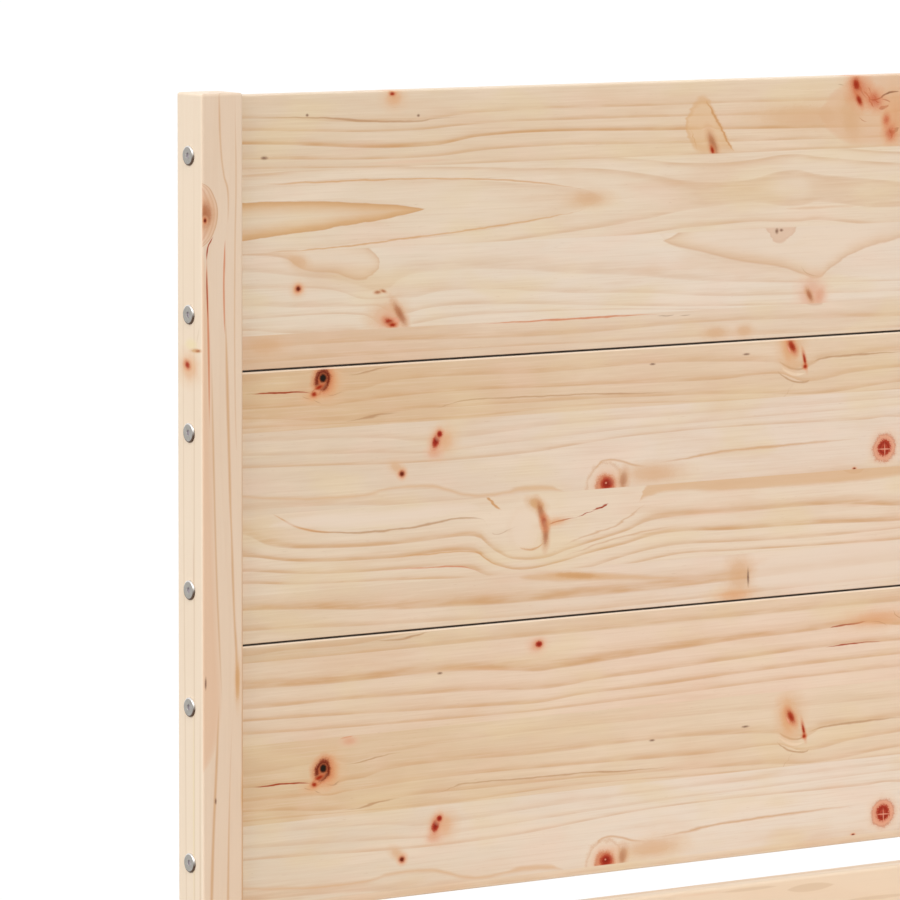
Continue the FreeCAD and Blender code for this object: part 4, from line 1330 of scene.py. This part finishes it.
class BED_OT_stage(bpy.types.Operator):
    """Makes the floor, the light and the camera at the photograph's angle"""

    bl_idname = "bed_looks.stage"
    bl_label = "Stage"

    def execute(self, context):
        looks = context.scene.bed_stage
        context.scene.view_settings.view_transform = "Standard"
        world = bpy.data.worlds.new("studio")
        context.scene.world = world
        tree = Tree(world)
        level = seen_directly(tree) * (1 - looks.sky) + looks.sky
        tree.surface(tree.node("ShaderNodeBackground", None, {"Color": (1, 1, 1, 1), "Strength": level}))
        for name, strength, angle, toward in (
            ("front_light", looks.front, 50, (-0.12, -1.0, 0.7)),
            ("left_light", looks.left, 60, (-1.0, -0.05, 0.42)),
            ("back_light", looks.back, 70, (0.8, 1.0, 0.25)),
        ):
            lamp = bpy.data.objects.new(name, bpy.data.lights.new(name, "SUN"))
            lamp.data.energy = strength
            lamp.data.angle = math.radians(angle)
            lamp.rotation_mode = "QUATERNION"
            lamp.rotation_quaternion = Vector(toward).to_track_quat("Z", "Y")
            context.scene.collection.objects.link(lamp)
        self.floor(context, looks.floor)
        self.camera(context)
        return {"FINISHED"}

    def floor(self, context, half):
        """A white floor that still takes the bed's shadow."""
        mesh = bpy.data.meshes.new("floor")
        corners = [(-half, -half, 0), (half, -half, 0), (half, half, 0), (-half, half, 0)]
        mesh.from_pydata(corners, [], [(0, 1, 2, 3)])
        floor = bpy.data.objects.new("floor", mesh)
        context.scene.collection.objects.link(floor)
        tree = Tree(bpy.data.materials.new("floor"))
        # The plain part takes the shadow, and the glow lifts what the camera sees to white.
        plain = tree.node("ShaderNodeBsdfDiffuse", None, {"Color": (0.48, 0.48, 0.48, 1)})
        share = seen_directly(tree) * 0.5
        glow = tree.node("ShaderNodeEmission", None, {"Color": (1, 1, 1, 1), "Strength": share})
        mesh.materials.append(tree.surface(tree.node("ShaderNodeAddShader", None, {0: plain, 1: glow})))

    def camera(self, context):
        """The view found by fitting the post's and the panels' edges in the photograph."""
        data = bpy.data.cameras.new("camera")
        data.sensor_width = 36
        data.lens = 238.74
        data.clip_start = 0.1
        data.clip_end = 200
        turn, down, roll = math.radians(33.529), math.radians(6.492), math.radians(0.164)
        ahead = Vector((math.sin(turn) * math.cos(down), math.cos(turn) * math.cos(down), -math.sin(down)))
        right = Vector((math.cos(turn), -math.sin(turn), 0))
        up = right.cross(ahead)
        level = right * math.cos(roll) + up * math.sin(roll)
        rise = up * math.cos(roll) - right * math.sin(roll)
        axes = Matrix((level, rise, -ahead)).transposed().to_4x4()
        camera = bpy.data.objects.new("camera", data)
        camera.matrix_world = Matrix.Translation((-2.948, -2.6726, 1.2325)) @ axes
        context.scene.collection.objects.link(camera)
        context.scene.camera = camera


class BED_OT_headboard(bpy.types.Operator):
    """Gives the three headboard panels their edge-glued pine"""

    bl_idname = "bed_looks.headboard"
    bl_label = "Headboard panels"

    def execute(self, context):
        looks = context.scene.bed_pine
        for level, figure in (
            ("top", Figure(TOP_STRIPS, TOP_KNOTS, TOP_PATCHES, 0.997, -0.8, False, True)),
            ("middle", Figure(MIDDLE_STRIPS, MIDDLE_KNOTS, MIDDLE_PATCHES, 1.0025, 0.6, True, True)),
            ("bottom", Figure(BOTTOM_STRIPS, BOTTOM_KNOTS, BOTTOM_PATCHES, 1.007, 0.1, True, False)),
        ):
            name = "headboard_panel_" + level
            dress([name], panel_pine(name, figure, looks))
        return {"FINISHED"}


class BED_OT_posts(bpy.types.Operator):
    """Gives the four posts their straight-grained pine"""

    bl_idname = "bed_looks.posts"
    bl_label = "Posts"

    def execute(self, context):
        looks = context.scene.bed_pine
        calm = {"knotty": 0.0, "ringed": 0.12}
        drawn = sawn_pine("head_post_left", "z", "y", 4.0, looks, figure=post_figure, **calm)
        dress(["head_post_left"], drawn)
        for seed, name in enumerate(("head_post_right", "foot_post_left", "foot_post_right")):
            dress([name], sawn_pine(name, "z", "y", 5.0 + seed, looks, knotty=0.5))
        return {"FINISHED"}


class BED_OT_boards(bpy.types.Operator):
    """Gives the end boards, the side rails and the batten their edge-glued pine"""

    bl_idname = "bed_looks.boards"
    bl_label = "End boards and side rails"

    def execute(self, context):
        looks = context.scene.bed_pine
        width = looks.strip_width * 1000
        drawn = sawn_pine("head_end_board", "x", "y", 11.0, looks, width, figure=board_figure)
        dress(["head_end_board"], drawn)
        dress(["foot_end_board"], sawn_pine("foot_end_board", "x", "y", 12.0, looks, width))
        for seed, name in enumerate(("side_rail_left", "side_rail_right")):
            dress([name], sawn_pine(name, "y", "x", 17.0 + seed, looks, width))
        dress(["headboard_batten"], sawn_pine("headboard_batten", "z", "y", 21.0, looks))
        return {"FINISHED"}


class BED_OT_base(bpy.types.Operator):
    """Gives the slats, ledgers, beam and legs their plain sawn pine"""

    bl_idname = "bed_looks.base"
    bl_label = "Slats and supports"

    def execute(self, context):
        looks = context.scene.bed_pine
        slats = sorted(name for name in nodes if name.startswith("slat_") and name[5:].isdigit())
        for turn in range(3):
            dress(slats[turn::3], sawn_pine(f"slat_pine_{turn + 1}", "x", "z", 31.0 + turn, looks))
        dress(["slat_ledger_left", "slat_ledger_right"], sawn_pine("ledger_pine", "y", "x", 41.0, looks))
        dress(["center_beam"], sawn_pine("beam_pine", "y", "x", 43.0, looks))
        dress(["center_leg_head", "center_leg_foot"], sawn_pine("leg_pine", "z", "x", 47.0, looks))
        return {"FINISHED"}


class BED_OT_bolts(bpy.types.Operator):
    """Replaces the bolts with turned ones that have bevelled heads and hexagon sockets"""

    bl_idname = "bed_looks.bolts"
    bl_label = "Bolts"

    def execute(self, context):
        steel = bolt_steel(context.scene.bed_metal)
        for name in sorted(nodes):
            if name.endswith(("bolts_left", "bolts_right")):
                bolts_piece(name).data.materials.append(steel)
        return {"FINISHED"}


class BED_OT_fittings(bpy.types.Operator):
    """Gives the nuts, screws, studs and hangers their plated steel"""

    bl_idname = "bed_looks.fittings"
    bl_label = "Fittings"

    def execute(self, context):
        looks = context.scene.bed_metal
        small = [n for n in nodes if "screws" in n or "nuts" in n or "stud" in n or "insert" in n]
        dress(small, metal("screw_steel", looks.zinc, 0.32, 2.0, 0.1))
        dress(["beam_hanger_head", "beam_hanger_foot"], metal("zinc_plate", looks.zinc, 0.42, 3.0, 0.2))
        return {"FINISHED"}


class BED_PT_looks(bpy.types.Panel):
    """Lists the steps and their settings"""

    bl_label = "Bed frame looks"
    bl_idname = "BED_PT_looks"
    bl_space_type = "VIEW_3D"
    bl_region_type = "UI"
    bl_category = "Bed"

    def draw(self, context):
        for group in (context.scene.bed_pine, context.scene.bed_metal, context.scene.bed_stage):
            box = self.layout.box()
            for name in group.__annotations__:
                box.prop(group, name)
        for step in STEPS:
            self.layout.operator(step.bl_idname)


STEPS = (
    BED_OT_stage, BED_OT_headboard, BED_OT_posts, BED_OT_boards, BED_OT_base, BED_OT_bolts, BED_OT_fittings,
)
GROUPS = (PineLooks, MetalLooks, StageLooks)


def register():
    for group in (*GROUPS, *STEPS, BED_PT_looks):
        bpy.utils.register_class(group)
    bpy.types.Scene.bed_pine = PointerProperty(type=PineLooks)
    bpy.types.Scene.bed_metal = PointerProperty(type=MetalLooks)
    bpy.types.Scene.bed_stage = PointerProperty(type=StageLooks)


def unregister():
    del bpy.types.Scene.bed_pine
    del bpy.types.Scene.bed_metal
    del bpy.types.Scene.bed_stage
    for group in reversed((*GROUPS, *STEPS, BED_PT_looks)):
        bpy.utils.unregister_class(group)


def main():
    """Runs every step in order."""
    register()
    bpy.ops.bed_looks.stage()
    bpy.ops.bed_looks.headboard()
    bpy.ops.bed_looks.posts()
    bpy.ops.bed_looks.boards()
    bpy.ops.bed_looks.base()
    bpy.ops.bed_looks.bolts()
    bpy.ops.bed_looks.fittings()


if __name__ == "__main__":
    main()
